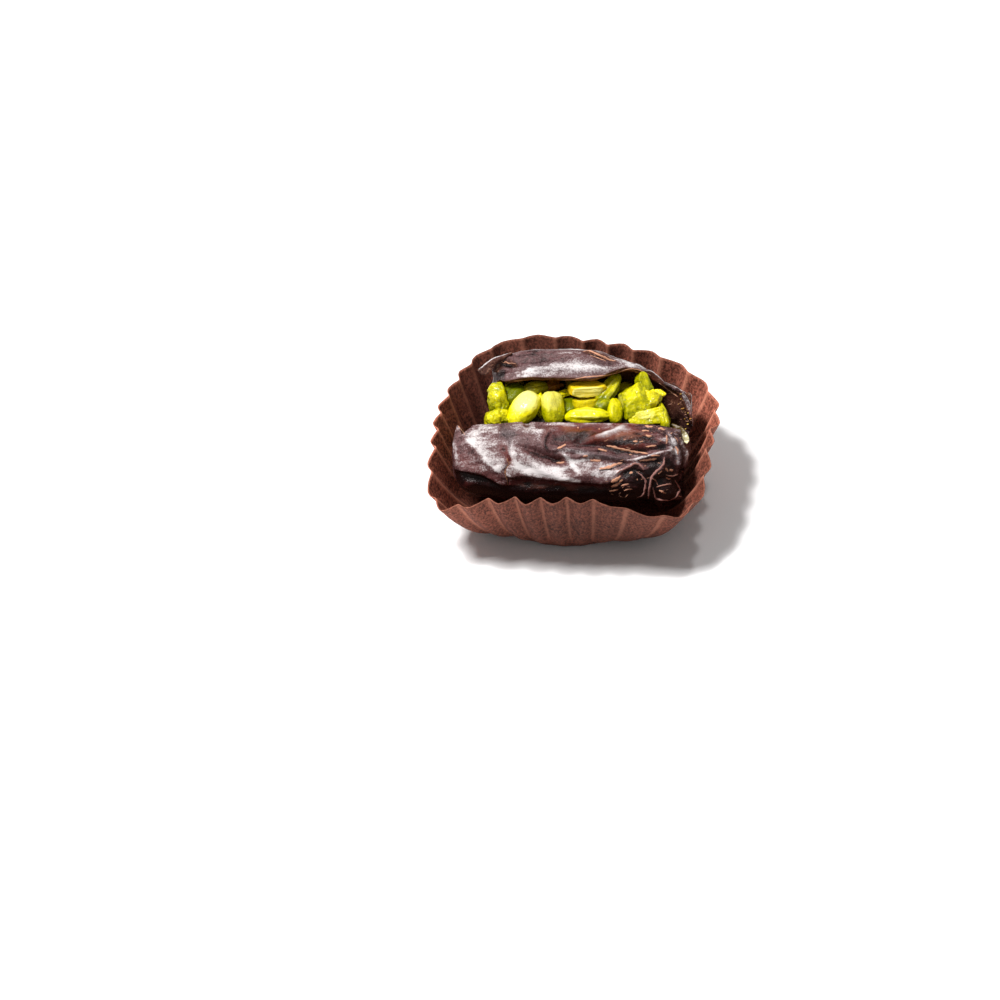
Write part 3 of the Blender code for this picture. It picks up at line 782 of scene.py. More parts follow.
# The back tones paint a highlight band of sheen, and painted shadow under the torn edge at the left.
BACK_TONES = (
    (((520, 375), (535, 371), (560, 367.5), (588, 366.5), (612, 370)), 0.48, 0.8, 1.1),
    (((522, 364), (545, 360), (570, 359)), -0.12, 0.6, 0.8),
    (((506, 360), (535, 354), (565, 353)), -0.10, 0.7, 1.0),
    (((570, 349), (592, 351), (615, 359), (640, 365), (660, 380)), 0.25, 0.2, 0.25),
    (((615, 366), (630, 364), (645, 369)), 0.15, 0.5, 0.5),
    (((496, 374), (504, 373)), -0.24, 0.7, 0.7),
    (((502, 364), (510, 364.5), (517, 365.5)), -0.55, 0.3, 0.35),
    (((486, 372), (488, 380), (490, 390)), -0.30, 1.2, 1.0),
    (((491, 368), (499, 371), (504, 377)), -0.50, 1.1, 1.1),
    (((492, 378), (500, 382)), -0.30, 0.6, 0.6),
    (((493, 382), (498, 381)), 0.30, 0.3, 0.3),
    (((504, 372), (507, 376), (505, 380)), 0.20, 0.3, 0.3),
    (((586, 352), (598, 356), (612, 361.5)), -0.35, 0.2, 0.25),
)
# Painted reflection: the crest of the back flap is drawn paler where it turns away, as the bright surround
# glances off it.
CREST_FACING = 0.10  # where the back flap's crest turns away from the photograph's camera
CREST_WIDTH = 0.10
CREST_REFLECTION = 0.55
# The greyer hues colour the painted sheen; hues above 1 take the colour of light coming through thin skin.
FRONT_HUES = (  # line in the photograph, redder or greyer, half width above it and below it
    (((553, 433), (575, 434), (590, 437), (625, 443), (650, 446)), 0.62, 2.8, 1.8),
    (((615, 432), (630, 433), (652, 434)), 0.45, 1.4, 1.6),
    (((560, 426), (580, 430), (592, 429)), 0.40, 0.5, 0.8),
    (((523, 449), (545, 457), (566, 463)), 0.45, 0.5, 0.5),
    (((502, 445), (507, 454), (511, 463)), 0.50, 0.8, 0.8),
    (((457, 452), (468, 464), (484, 474), (500, 478)), 0.22, 1.2, 1.0),
    (((508, 484), (560, 487), (605, 489)), 0.45, 0.7, 1.0),
    (((500, 430), (515, 438)), -0.40, 1.5, 1.5),
    (((556, 451), (576, 451), (600, 457), (624, 460)), -0.40, 0.6, 0.4),
    (((668, 433), (678, 450), (683, 470)), -0.35, 0.9, 0.9),
    (((655, 490), (678, 490)), -0.30, 1.5, 1.5),
    (((584, 418), (602, 417.5), (622, 419), (642, 422)), 1.6, 0.7, 0.8),
)
BACK_HUES = ((((520, 372), (560, 367), (612, 369)), -0.30, 1.4, 1.6),)
FLESH_SHOWS = (  # of both flaps: where the skin is torn and its flesh shows
    (((480, 371), (489, 367), (500, 362)), 1.0, 0.5, 0.9),
    (((502, 363), (510, 362.5), (517, 364)), 0.8, 0.25, 0.3),
    (((583, 350.5), (592, 351.5), (602, 355), (614, 360)), 1.0, 0.35, 0.45),
    (((523, 424), (526, 427), (530, 425)), 1.0, 0.4, 0.4),
)
# Black edges are painted shadow lines beneath torn edges and splits.
RIMS = (  # edges: half width in millimetres, black (-1) or torn flesh (0), line in the photograph
    (0.10, 0.0, ((501, 361), (503.6, 362.6), (506, 362), (509, 363.4), (512, 363), (516, 364.2))),
    (0.34, -1.0, ((502, 364.6), (507, 365.6), (513, 366))),
    (0.22, 0.0, ((583, 351.4), (589, 350.6), (595, 353), (603, 357), (611, 360.2), (616, 361))),
    (0.12, -1.0, ((588, 353.4), (596, 356.2), (604, 359.4))),
    (0.10, 0.0, ((590, 355), (598, 358), (606, 361))),
    (0.10, 0.0, ((618, 372.6), (626, 369.6), (633, 368.8), (642, 371), (651, 375.4))),
    (0.12, 0.0, ((659, 383), (665, 387.4), (671, 392), (678, 397))),
    (0.12, 0.0, ((507, 385.4), (515, 382.6), (526, 381), (539, 381.2), (552, 380.4))),
    (0.12, 0.0, ((552, 380.4), (570, 379.6), (587, 377), (602, 375.8), (617, 373))),
    (0.11, 0.0, ((458.2, 426), (461, 429.4), (464.8, 434.6))),
    (0.20, -1.0, ((606, 448), (622, 451.4), (636, 454.4), (648, 455.8))),
    (0.14, -1.0, ((599, 470.4), (610, 469), (622, 464.8))),
    (0.16, -1.0, ((612, 484.6), (618, 481.6), (622, 477.8))),
    (0.16, -1.0, ((612, 489), (618, 486), (623, 481.6))),
    (0.12, -1.0, ((640, 462.4), (648, 462), (656, 460.8))),
)
TATTERS = (
    # torn bits of skin: where they hang from, their two edges in the photograph, how far they stand
    # out in the middle and lie back at their first end, flesh, tone
    ((506, 359), ((478.7, 370.4), (484, 365.4), (491.7, 359.6), (500.3, 356.4), (512, 353)),
     ((478.7, 370.4), (483, 374.6), (488.5, 373.4), (493, 366.4), (502, 360), (512, 353.4)),
     0.4, 3.2, 0.8, 0.1),
    ((676, 392), ((664, 382.6), (673, 386.4), (682, 391), (690.6, 396.4)),
     ((664, 383), (672, 388), (681, 393), (690.6, 397)), 0.3, 0.0, 0.1, 0.30),
    ((684, 400), ((682.4, 392.6), (687, 399), (690.4, 407), (691.4, 418)),
     ((682.4, 393), (684.6, 400), (688, 409), (691, 418)), 0.4, 0.0, 0.0, 0.48),
)
MEMBRANE = (
    (684, 441), ((672, 424), (681, 427), (686.6, 433), (689.4, 440.4)),
    ((672, 425), (678.6, 435), (682.6, 440.6), (687.4, 443.6)), 0.2, 1.8, 0.0, 0.0,
)
CRUMBS = (  # specks on the torn edges: where in the photograph, size
    ((683.7, 408.4), 0.55), ((683, 388.5), 0.3), ((680.6, 394), 0.3), ((690.4, 419), 0.3), ((688, 424), 0.35),
    ((686, 429), 0.25), ((690, 433), 0.4), ((691, 438), 0.45), ((687.5, 437), 0.3), ((555, 379.8), 0.35),
    ((685, 419), 0.2), ((679, 404), 0.2), ((688, 413), 0.2), ((684, 434), 0.3), ((681, 399), 0.2),
)
SPLITS = (  # thin splits in the skin: half width in millimetres, how red, line in the photograph
    (0.14, 0.2, ((606.4, 445.7), (614, 447), (622.5, 449.3), (636, 452), (648.4, 453.3))),
    (0.10, 0.2, ((598, 449), (602, 450), (607, 451))),
    (0.12, 0.2, ((557, 448.6), (561, 447), (566, 444.4))),
    (0.14, 0.3, ((556.5, 463), (560, 462.8), (564.5, 462.2))),
    (0.11, 0.2, ((645.7, 446.8), (651, 446), (656.4, 445.7))),
    (0.11, 0.2, ((642, 431), (645, 430.4), (649, 431))),
    (0.10, 0.2, ((645.7, 435), (649, 436), (652, 436))),
    (0.12, 0.2, ((644.8, 425.6), (649, 426.6), (653, 426.5))),
    (0.12, 0.2, ((658, 429), (661, 428.6), (664.5, 430))),
    (0.12, 0.5, ((666.3, 435), (667, 439), (666.3, 444))),
    (0.11, 0.4, ((674.3, 436.8), (677, 440), (678, 444))),
    (0.11, 0.4, ((675, 446.6), (677.5, 450), (678, 454.6))),
    (0.12, 0.3, ((583, 456.6), (585, 456.2), (588, 456.4))),
    (0.12, 0.3, ((590.4, 460), (596, 460.8), (601, 460))),
    (0.14, 0.2, ((639.5, 460.4), (648, 460), (656.4, 458.7))),
    (0.10, 0.2, ((651, 455.8), (655, 455.4), (660, 455.8))),
    (0.16, 0.3, ((599.3, 468.5), (605, 468.4), (610, 467), (615.4, 464.5), (622.5, 462.7))),
    (0.17, 0.2, ((611, 482.3), (616, 480), (620.7, 476))),
    (0.16, 0.2, ((611, 487), (617, 484), (622.5, 479.6))),
    (0.11, 0.2, ((629.6, 473.8), (631, 472.8), (633, 472.5))),
    (0.09, 0.2, ((636.8, 479.6), (637.8, 479.3))),
    (0.10, 0.2, ((633, 441.3), (636, 441.6), (637.5, 441))),
    (0.09, 0.2, ((598.6, 429.2), (600, 428.8))),
    (0.10, 0.2, ((577.4, 428), (578.8, 427.6))),
    (0.11, 0.3, ((658, 474), (660, 472.6), (662, 470.7))),
    (0.11, 0.3, ((665.4, 468), (667, 470), (668, 471.6))),
    (0.11, 0.3, ((669.8, 469.4), (671.5, 470.4), (673, 470.7))),
    (0.10, 0.3, ((666.3, 477.4), (668, 478.6), (670.7, 478.8))),
    (0.10, 0.3, ((659, 490.4), (662, 491.8), (664.5, 492.6))),
    (0.09, 0.3, ((609, 491.3), (613, 490.6), (618, 489.5))),
    (0.09, 0.4, ((621, 486), (625, 484.6), (629, 484.4))),
    (0.08, 0.4, ((624, 491), (628, 489.4), (632, 489.6))),
    (0.12, 0.0, ((511, 462.4), (507, 466.5), (505.2, 472), (506.6, 478), (508.2, 485.5))),
    (0.07, 0.0, ((509.4, 463), (507.6, 461), (507, 458))),
)
RIDGES = (  # fine raised lines on the skin, as for the splits
    (0.15, 1.0, ((616, 473.4), (624.3, 469), (631.4, 465.4), (636.8, 463.6), (642, 467), (644, 470))),
    (0.13, 1.0, ((637.7, 472.5), (642, 476), (645.7, 481.4), (644.8, 488.6), (643, 494.8), (636.8, 497.5))),
    (0.16, 1.0, ((664.5, 457.3), (662.7, 465.4), (654.6, 473.4), (651, 479.6), (649.3, 488.6), (648.4, 497.5),
                 (649, 503.8), (654.6, 506.4))),
    (0.12, 1.0, ((653, 486.8), (653.8, 492), (656.4, 498.4), (664.5, 500.2), (671, 500.2))),
    (0.12, 1.0, ((670, 500), (675, 497.6), (678, 493.6), (679.6, 489.6), (677.4, 485), (674.6, 480))),
    (0.10, 0.8, ((656.4, 487.2), (664.5, 485), (671.6, 484))),
    (0.10, 0.9, ((681.4, 470.7), (684, 473), (686.8, 476), (688.6, 480.5))),
    (0.08, 0.8, ((652, 478), (656, 481), (658, 486))),
    (0.08, 0.8, ((666, 475), (672, 476), (678, 474))),
)
SPLIT_HEIGHT, RIDGE_HEIGHT, RIM_HEIGHT, STRAY_HEIGHT = 0.10, 0.20, 0.08, 0.03
SPLIT_SWELL, RIDGE_SWELL = 1.9, 1.5  # how much wider than their rows say, as they are half sunk
RIM_RED = 0.3
STRAY_SPLITS = (  # how many small ones are scattered where: across and down the photograph
    (46, (604, 690), (432, 498)),
    (14, (606, 634), (484, 498)),
    (22, (662, 692), (396, 430)),
    (10, (655, 690), (425, 440)),
)
STRAY_SLOPE = (-0.1, 0.35)  # middle and spread
STRAY_LENGTH = (1.0, 4.5)
STRAY_DIMNESS = (0.0, 0.7)
STRAY_HALF_WIDTH = (0.04, 0.10)
STRAY_RED = (0.1, 0.6)
STRAY_SEED = 3
TATTER_COLUMNS, TATTER_ROWS = 40, 12
TATTER_THICKNESS = 0.2
# The membrane is drawn from dark to pale along its length: painted shade in its recess, lit towards its end.
MEMBRANE_SHADED, MEMBRANE_THIN = rgb(84, 64, 22), rgb(236, 226, 178)
CRUMB_DARK, CRUMB_LIGHT = rgb(132, 64, 20), rgb(222, 180, 70)
CRUMB_SHAPE = (1.4, 1.0, 0.7)
WRINKLE_LENGTH = 0.28  # how far points are pressed together along the date to draw its wrinkles out
SWELL_HEIGHT = 0.22
CREASE_DEPTH = 0.07
# The underside's low tone is painted shade.
SKIN_TONE, UNDER_SHADE_TONE, HIDDEN_TONE = 0.40, -0.12, 0.26  # of the skin that shows, its underside, the rest


def plain_skin(u, v):
    """The date's surface without folds and the flesh's thickness, as in the part."""
    reach = np.where(u < 0.0, curve_through(LEFT_REACH, v), curve_through(RIGHT_REACH, v))
    x = u * reach
    section = curve_through(SECTIONS[0][1], v)
    for (start, _), (end, table) in zip(SECTIONS, SECTIONS[1:]):
        section = mix(section, curve_through(table, v), smooth_step(start, end, x)[..., None])
    from_end = (1.0 - np.abs(u)) * reach
    stretch = np.where(u < 0.0, END_ROUNDING[0], END_ROUNDING[1])
    t = np.maximum(1.0 - from_end / stretch, 0.0)
    drawn = np.where(u < 0.0, curve_through(LEFT_DRAWN_IN, v), curve_through(RIGHT_DRAWN_IN, v))
    share = drawn * (1.0 - np.sqrt(np.maximum(1.0 - t**END_BLUNTNESS, 0.0)))
    middle = np.where((u < 0.0)[..., None], LEFT_MIDDLE, RIGHT_MIDDLE)
    y = mix(section[..., 0], middle[..., 0], share)
    z = mix(section[..., 1], middle[..., 1], share)
    return np.stack([x, y, z], -1), section[..., 2]


def outward_of(u, v):
    step = 0.002
    along = plain_skin(np.minimum(u + step, 1.0), v)[0] - plain_skin(np.maximum(u - step, -1.0), v)[0]
    across = plain_skin(u, np.minimum(v + step, 1.0))[0] - plain_skin(u, np.maximum(v - step, 0.0))[0]
    return unit(np.cross(across, along))


def placed(points, turn_only=False):
    """Puts points or directions of the date's own frame in the case."""
    turning = Matrix.Rotation(radians(DATE_TURN), 3, "Z") @ Matrix.Rotation(radians(DATE_TILT), 3, "Y")
    turned = points @ np.array(turning).T
    return turned if turn_only else turned + np.array(DATE_PLACE)


def skin_points(u, v):
    """The outer surface as in the part, and the direction in which it faces."""
    point = plain_skin(u, v)[0]
    outward = outward_of(u, v)
    height = np.zeros_like(u)
    for size, middle, half_length, place, half_width in FOLDS:
        along = ((point[..., 0] - middle) / half_length) ** FOLD_ENDING
        height = height + size * np.exp(-along - ((v - place) / half_width) ** 2)
    return placed(point + outward * height[..., None]), placed(outward, turn_only=True)


def under_points(u, v, extra=0.0):
    """The inner side of the flesh, or points extra millimetres further in."""
    point, thick = plain_skin(u, v)
    return placed(point - outward_of(u, v) * (thick + extra)[..., None])


def pulled(points, v):
    """Moves the date's edges to where the photograph shows them, as the camera sees it."""
    pixels = in_picture(points)
    back = smooth_step(0.62, 0.70, v)
    moved = np.zeros_like(points)
    for pulls, share in ((FRONT_PULLS, 1.0 - back), (BACK_PULLS, back)):
        for place, (aside, down), half_width in pulls:
            distance = np.linalg.norm(pixels - place, axis=1) * PIXEL
            moved += (bell(distance, half_width) * share)[:, None] * (RIGHT * aside - UP * down) * PIXEL
    return points + moved


def columns_along(count):
    """Places along the date, closer together towards its rounded ends."""
    spread = pi * COLUMN_CROWDING
    share = np.linspace(0.0, 1.0, count + 1)
    return np.sin((share - 0.5) * spread) / sin(0.5 * spread)


def lip_places(u):
    """Where round the date the skin begins and ends at places along it, torn unevenly."""
    starts = []
    for lip, drops in ((0.0, FRONT_LIP_DROP), (1.0, BACK_LIP_DROP)):
        points, _ = skin_points(u, np.full_like(u, lip))
        across = in_picture(points)[:, 0]
        drop = np.interp(across, *zip(*drops))
        ragged = 0.10 * grain(points, 0.9, octaves=3, seed=9.0 + lip) + 0.06
        starts.append((drop + ragged) / DATE_ROUND)
    return np.maximum(starts[0], 0.0), 1.0 - np.maximum(starts[1], 0.0)


def strokes_at(pixels, table, mask, gather=np.add):
    """Strokes of the photograph at pixels, added up or gathered otherwise, where mask lets them."""
    total = np.zeros(len(pixels))
    for line, size, above, below in table:
        total = gather(total, size * stroke(pixels, line, above, below))
    return total * mask


def date_finish(values):
    """Near-black fruit skin with sugar bloom and painted sheen on its raised parts, painted shade in its
    hollows, and brown fibrous flesh inside.
    """
    finish = Finish("date_skin")
    fine = finish.speckle(0.28, detail=4.0, roughness=0.7)
    pores = finish.speckle(0.14, detail=2.0, roughness=0.6)
    patches = finish.speckle(1.3, detail=5.0, roughness=0.62, distortion=0.8)
    wrinkles = finish.speckle(0.7, detail=4.0, roughness=0.6, stretch=(2.6, 1.0, 1.0))
    fibres = finish.speckle(0.5, detail=6.0, roughness=0.7, stretch=(3.5, 1.0, 1.0))
    flesh = finish.attribute("flesh")
    red = finish.attribute("red")
    grainy = (fine - 0.5) * 1.2 + (patches - 0.5) * 0.60 + (wrinkles - 0.5) * 0.60
    tone = finish.attribute("tone")
    tone = tone + grainy * (0.45 + 0.55 * tone.between(0.0, 0.45)) * (1.0 - 0.6 * red.between(0.6, 1.0))
    middle = finish.blend((red + (patches - 0.5) * 0.4).clamped(), values.cool, values.ruddy)
    middle = finish.blend((red - 1.0).clamped(), middle, values.honey)
    skin = finish.blend(tone.between(-0.05, 0.50), values.skin, middle)
    skin = finish.blend(tone.between(0.42, 1.02), skin, values.bloom_and_sheen)
    skin = finish.blend(pores.between(0.62, 0.76) * tone.between(0.0, 0.6) * 0.45, skin, values.bloom_and_sheen)
    bright = (fibres.between(0.52, 0.72) * 0.6 + fine.between(0.60, 0.78) * 0.5).clamped()
    inside = finish.blend((red - 1.0).clamped(), values.flesh, values.copper)
    inside = finish.blend(bright, inside, values.torn)
    scar = finish.blend(red.clamped(), values.torn, values.scar)
    inside = finish.blend((finish.attribute("split") * (0.55 + 0.8 * fine)).clamped(), inside, scar)
    colour = finish.blend(flesh.clamped(), skin, inside)
    roughness = 0.27 + tone.between(0.1, 0.8) * 0.25 + flesh * 0.45 + (fine - 0.5) * 0.25
    height = wrinkles * 0.45 + fine * 0.35 + pores * 0.2
    bumps = finish.relief(height, 0.28, 0.85)
    return finish.done(
        Base_Color=colour, Roughness=roughness.clamped(), Normal=bumps, Specular_IOR_Level=0.36,
        Specular_Tint=(1.0, 0.88, 0.86),
    )


class MakeDate(Operator):
    """Makes the date: its folded, torn skin outside and the fibrous flesh inside"""

    bl_idname = "stuffed_date.make_date"
    bl_label = "Date"
    bl_options = {"REGISTER", "UNDO"}

    LAYERS = ("tone", "red", "flesh", "split")

    def execute(self, context):
        values = settings().date
        bm = new_mesh(*self.LAYERS)
        outer, rows = self.outer_side(bm, values)
        inner = self.inner_side(bm, values)
        self.join(bm, outer, rows, inner, values.columns)
        bmesh.ops.triangulate(bm, faces=[face for face in bm.faces if len(face.verts) > 4])
        bmesh.ops.recalc_face_normals(bm, faces=bm.faces)
        skin = BVHTree.FromBMesh(bm)
        finish = date_finish(values)
        add_piece("date_body", bm, finish, "date")
        self.splits(skin, finish)
        self.tatters(skin, finish)
        self.crumbs(skin)
        return {"FINISHED"}

    def splits(self, skin, finish):
        """Thin splits and raised lines, laid on the skin where the photograph shows them."""
        bm = new_mesh(*self.LAYERS)
        for half_width, red, line in SPLITS:
            self.lay(bm, skin, line, SPLIT_SWELL * half_width, SPLIT_HEIGHT, red)
        for half_width, red, line in RIDGES:
            self.lay(bm, skin, line, RIDGE_SWELL * half_width, RIDGE_HEIGHT, red)
        for half_width, pale, line in RIMS:
            self.lay(bm, skin, line, half_width, RIM_HEIGHT, 0.0 if pale else RIM_RED, pale)
        draw = random.Random(STRAY_SEED)
        for count, across, down in STRAY_SPLITS:
            for _ in range(count):
                x, y = draw.uniform(*across), draw.uniform(*down)
                slope = draw.gauss(*STRAY_SLOPE)
                length = draw.uniform(*STRAY_LENGTH)
                bent = (x + 0.5 * length, y + (slope + 0.1) * 0.5 * length)
                line = ((x, y), bent, (x + length, y + slope * length))
                dimness = draw.uniform(*STRAY_DIMNESS)
                half_width, red = draw.uniform(*STRAY_HALF_WIDTH), draw.uniform(*STRAY_RED)
                self.lay(bm, skin, line, half_width, STRAY_HEIGHT, red, -dimness)
        add_piece("date_splits", bm, finish, "date")

    def tatters(self, skin, finish):
        """Torn bits of the back flap's skin, and the pale membrane at its right end."""
        bm = new_mesh(*self.LAYERS)
        for tatter in TATTERS:
            self.tatter(bm, skin, tatter)
        add_piece("date_tatters", bm, finish, "date")
        bm = new_mesh(*self.LAYERS)
        self.tatter(bm, skin, MEMBRANE)
        finish = Finish("membrane")
        # Painted shade: darker towards the membrane's first end, in its recess.
        shade = finish.attribute("red") + (finish.speckle(0.8) - 0.5) * 0.5
        colour = finish.blend(shade.between(0.25, 1.0), MEMBRANE_SHADED, MEMBRANE_THIN)
        membrane = finish.done(Base_Color=colour, Roughness=0.35)
        add_piece("date_membrane", bm, membrane, "date")

    def crumbs(self, skin):
        """Golden specks of flesh and nut along the torn edges."""
        bm = bmesh.new()
        for pixel, size in CRUMBS:
            place, facing, _, _ = skin.ray_cast(Vector(EYE), sight(pixel))
            if place is None:
                continue
            place = place + facing * size * 0.3
            verts = bmesh.ops.create_icosphere(bm, subdivisions=3, radius=size / 2.0)["verts"]
            ball = places_of(verts)
            lumpy = ball * (0.85 + 1.1 * grain(ball / size + pixel[0], 1.6, octaves=2))[:, None]
            place_verts(verts, lumpy * CRUMB_SHAPE + np.array(place))
        finish = Finish("crumbs")
        colour = finish.blend(finish.speckle(2.0).between(0.35, 0.65), CRUMB_DARK, CRUMB_LIGHT)
        add_piece("date_crumbs", bm, finish.done(Base_Color=colour, Roughness=0.4), "date")

    def tatter(self, bm, skin, tatter):
        """A thin torn sheet between two lines of the photograph, hung in front of the skin."""
        anchor, upper, lower, lift, lie_back, flesh, tone = tatter
        place, _, _, _ = skin.ray_cast(Vector(EYE), sight(anchor))
        reach = (place - Vector(EYE)).length
        verts = grid(bm, TATTER_COLUMNS, TATTER_ROWS)
        share = np.linspace(0.0, 1.0, TATTER_COLUMNS + 1)
        first, last = curve_through(upper, share), curve_through(lower, share)
        points = []
        steps = np.linspace(0.0, 1.0, TATTER_ROWS + 1)
        for down in steps:
            for along, pixel in zip(share, mix(first, last, down)):
                bulge = lift * sin(pi * (0.15 + 0.7 * down)) - lie_back * (1.0 - along) ** 1.5
                points.append(Vector(EYE) + sight(pixel) * (reach - bulge))
        points = np.array(points)
        points = points + BACK * (0.3 * grain(points, 1.0))[:, None]
        place_verts(verts, points)
        # The upper edge is drawn pale: a painted reflection along the rim.
        rim = smooth_step(0.16, 0.06, np.repeat(steps, TATTER_COLUMNS + 1))
        along = np.tile(share, TATTER_ROWS + 1)
        paint(bm, verts, flesh=flesh * (1.0 - rim), tone=mix(tone, 1.0, rim), red=along**1.5, split=0.0)
        faces = list(dict.fromkeys(face for vert in verts for face in vert.link_faces))
        bmesh.ops.recalc_face_normals(bm, faces=faces)
        bmesh.ops.solidify(bm, geom=faces, thickness=TATTER_THICKNESS)

    def lay(self, bm, skin, line, half_width, height, red, pale=0.0):
        """A thin spindle along a line of the photograph, half sunk in the skin."""
        runs = [[]]
        for pixel in curve_through(line, np.linspace(0.0, 1.0, 3 * len(line))):
            place, facing, _, _ = skin.ray_cast(Vector(EYE), sight(pixel))
            if place is None:
                continue
            if runs[-1] and (place - runs[-1][-1][0]).length > LONGEST_GAP:
                runs.append([])
            runs[-1].append((place, facing))
        hits = max(runs, key=len)
        if len(hits) < 3:
            return
        places = np.array([place for place, _ in hits])
        facings = np.array([facing for _, facing in hits])
        rings = 4 * len(hits)
        verts = bmesh.ops.create_uvsphere(bm, u_segments=8, v_segments=rings, radius=1.0)["verts"]
        ball = places_of(verts)
        share = (ball[:, 2] + 1.0) / 2.0
        middle = curve_through(places, share)
        up = unit(curve_through(facings, share))
        ahead = unit(curve_through(places, share + 0.02) - curve_through(places, share - 0.02))
        aside = np.cross(up, ahead)
        uneven = 1.0 + 0.6 * grain(middle, 0.45, octaves=2)
        jagged = 0.5 * half_width * grain(middle, 0.7, octaves=2, seed=5.0)
        across = ball[:, 0] * half_width * uneven + jagged
        offset = aside * across[:, None] + up * (ball[:, 1] * height)[:, None]
        place_verts(verts, middle + offset)
        split = 1.0 if red else 0.35
        # A pale of -1 draws a black line: a painted shadow.
        paint(bm, verts, flesh=1.0 - abs(pale), split=split, red=red, tone=0.6 + pale)

    def outer_side(self, bm, values):
        """The skin, with the rounded edges of its two lips."""
        rows = values.rows + 2 * LIP_ROWS
        u_line = columns_along(values.columns)
        start, end = lip_places(u_line)
        v_share = np.interp(np.linspace(0.0, 1.0, values.rows + 1), *zip(*ROW_SPACING))
        u = np.tile(u_line, (values.rows + 1, 1))
        v = start + (end - start) * v_share[:, None]
        points, outward = skin_points(u, v)
        points, outward = points.reshape(-1, 3), outward.reshape(-1, 3)
        points, layers = self.sculpt(points, outward, u.ravel(), v.ravel(), values)
        points = points.reshape(values.rows + 1, -1, 3)
        outward = outward.reshape(points.shape)
        layers = {name: layer.reshape(points.shape[:2]) for name, layer in layers.items()}
        front, back = self.lip_rolls(u_line, start, end, points, outward)
        points = np.concatenate([front, points, back])
        edge = np.linspace(1.0, 0.0, LIP_ROWS, endpoint=False)[:, None]
        for name in layers:
            first, last = layers[name][:1], layers[name][-1:]
            before = mix(first, LIP_LAYERS[name], edge)
            after = mix(last, LIP_LAYERS[name], edge[::-1])
            layers[name] = np.concatenate([before, layers[name], after])
        verts = grid(bm, values.columns, rows)
        place_verts(verts, points.reshape(-1, 3))
        paint(bm, verts, **{name: layer.ravel() for name, layer in layers.items()})
        return verts, rows

    def lip_rolls(self, u_line, start, end, points, outward):
        """Rows that roll the skin over each lip's edge, half way through the flesh."""
        rolls = []
        for lip, edge, inner in ((start, 0, 1), (end, -1, -2)):
            thick = np.minimum(plain_skin(u_line, lip)[1], LIP_THICKNESS) * 0.5
            away = unit(points[edge] - points[inner])
            turn = np.linspace(0.5 * pi, 0.0, LIP_ROWS, endpoint=False)[:, None, None]
            thick = thick[None, :, None]
            roll = (
                points[edge][None]
                + away[None] * thick * 0.55 * np.sin(turn)
                - outward[edge][None] * thick * (1.0 - np.cos(turn))
            )
            rolls.append(roll if edge == 0 else roll[::-1])
        return rolls

    def sculpt(self, points, outward, u, v, values):
        """Raises the folds and wrinkles, and works out the skin's tone with its painted light and shade, its
        hue and where flesh shows.
        """
        pixels = in_picture(points)
        facing = smooth_step(0.0, 0.30, outward @ BACK)
        front = facing * smooth_step(0.46, 0.38, v)
        back = facing * smooth_step(0.72, 0.78, v)
        height = strokes_at(pixels, FRONT_FOLDS, front) + strokes_at(pixels, BACK_FOLDS, back)
        right_end = smooth_step(598.0, 650.0, pixels[:, 0])
        wrinkle = grain(points * (WRINKLE_LENGTH, 1.0, 1.0), 1.5, octaves=4, roughness=0.8)
        wrinkle = wrinkle * mix(0.75, 1.35, right_end)
        swell = grain(points, 6.0, octaves=2, seed=3.0)
        lips = smooth_step(0.0, 0.02, v) * smooth_step(0.0, 0.02, 1.0 - v)
        crease = bell(grain(points * (0.45, 1.0, 1.0), 3.0, octaves=3, seed=7.0), 0.035)
        height = height - CREASE_DEPTH * crease * lips
        height = height + (wrinkle * values.wrinkles / MM + swell * SWELL_HEIGHT) * mix(0.4, 1.0, lips)
        # Painted shade: below the overhang the skin is drawn darker and redder.
        away, below, _ = line_distance(pixels, OVERHANG)
        under_shade = smooth_step(-0.2, 1.1, np.where(below, away, -away))
        tone = mix(SKIN_TONE, UNDER_SHADE_TONE, under_shade) * front + SKIN_TONE * back
        tone += HIDDEN_TONE * (1.0 - np.maximum(front, back))
        tone += strokes_at(pixels, FRONT_TONES, front) + strokes_at(pixels, BACK_TONES, back)
        # Painted reflection of the bright surround along the back flap's crest.
        crest_reflection = bell(outward @ BACK - CREST_FACING, CREST_WIDTH) * smooth_step(0.72, 0.78, v)
        tone += CREST_REFLECTION * crest_reflection * (1.0 + swell)
        # Paler on raised wrinkles and swells as bloom and painted sheen; darker in creases, at the right end
        # and low at the right: painted shade.
        low_right_shade = right_end * smooth_step(446.0, 474.0, pixels[:, 1]) * front
        tone += wrinkle * 0.30 + swell * 0.10 - 0.08 * right_end * front - 0.16 * low_right_shade - 0.16 * crease
        red = 0.5 + strokes_at(pixels, FRONT_HUES, front) + strokes_at(pixels, BACK_HUES, back)
        red += 0.4 * under_shade * front
        flesh = strokes_at(pixels, FLESH_SHOWS, smooth_step(-0.2, 0.0, outward @ BACK), np.maximum)
        to_lip = (1.0 - v) * DATE_ROUND
        flesh = np.maximum(flesh, smooth_step(0.35, 0.05, to_lip + 0.3 * wrinkle))
        layers = {"tone": tone, "red": red, "flesh": flesh}
        return pulled(points + outward * height[:, None], v), layers

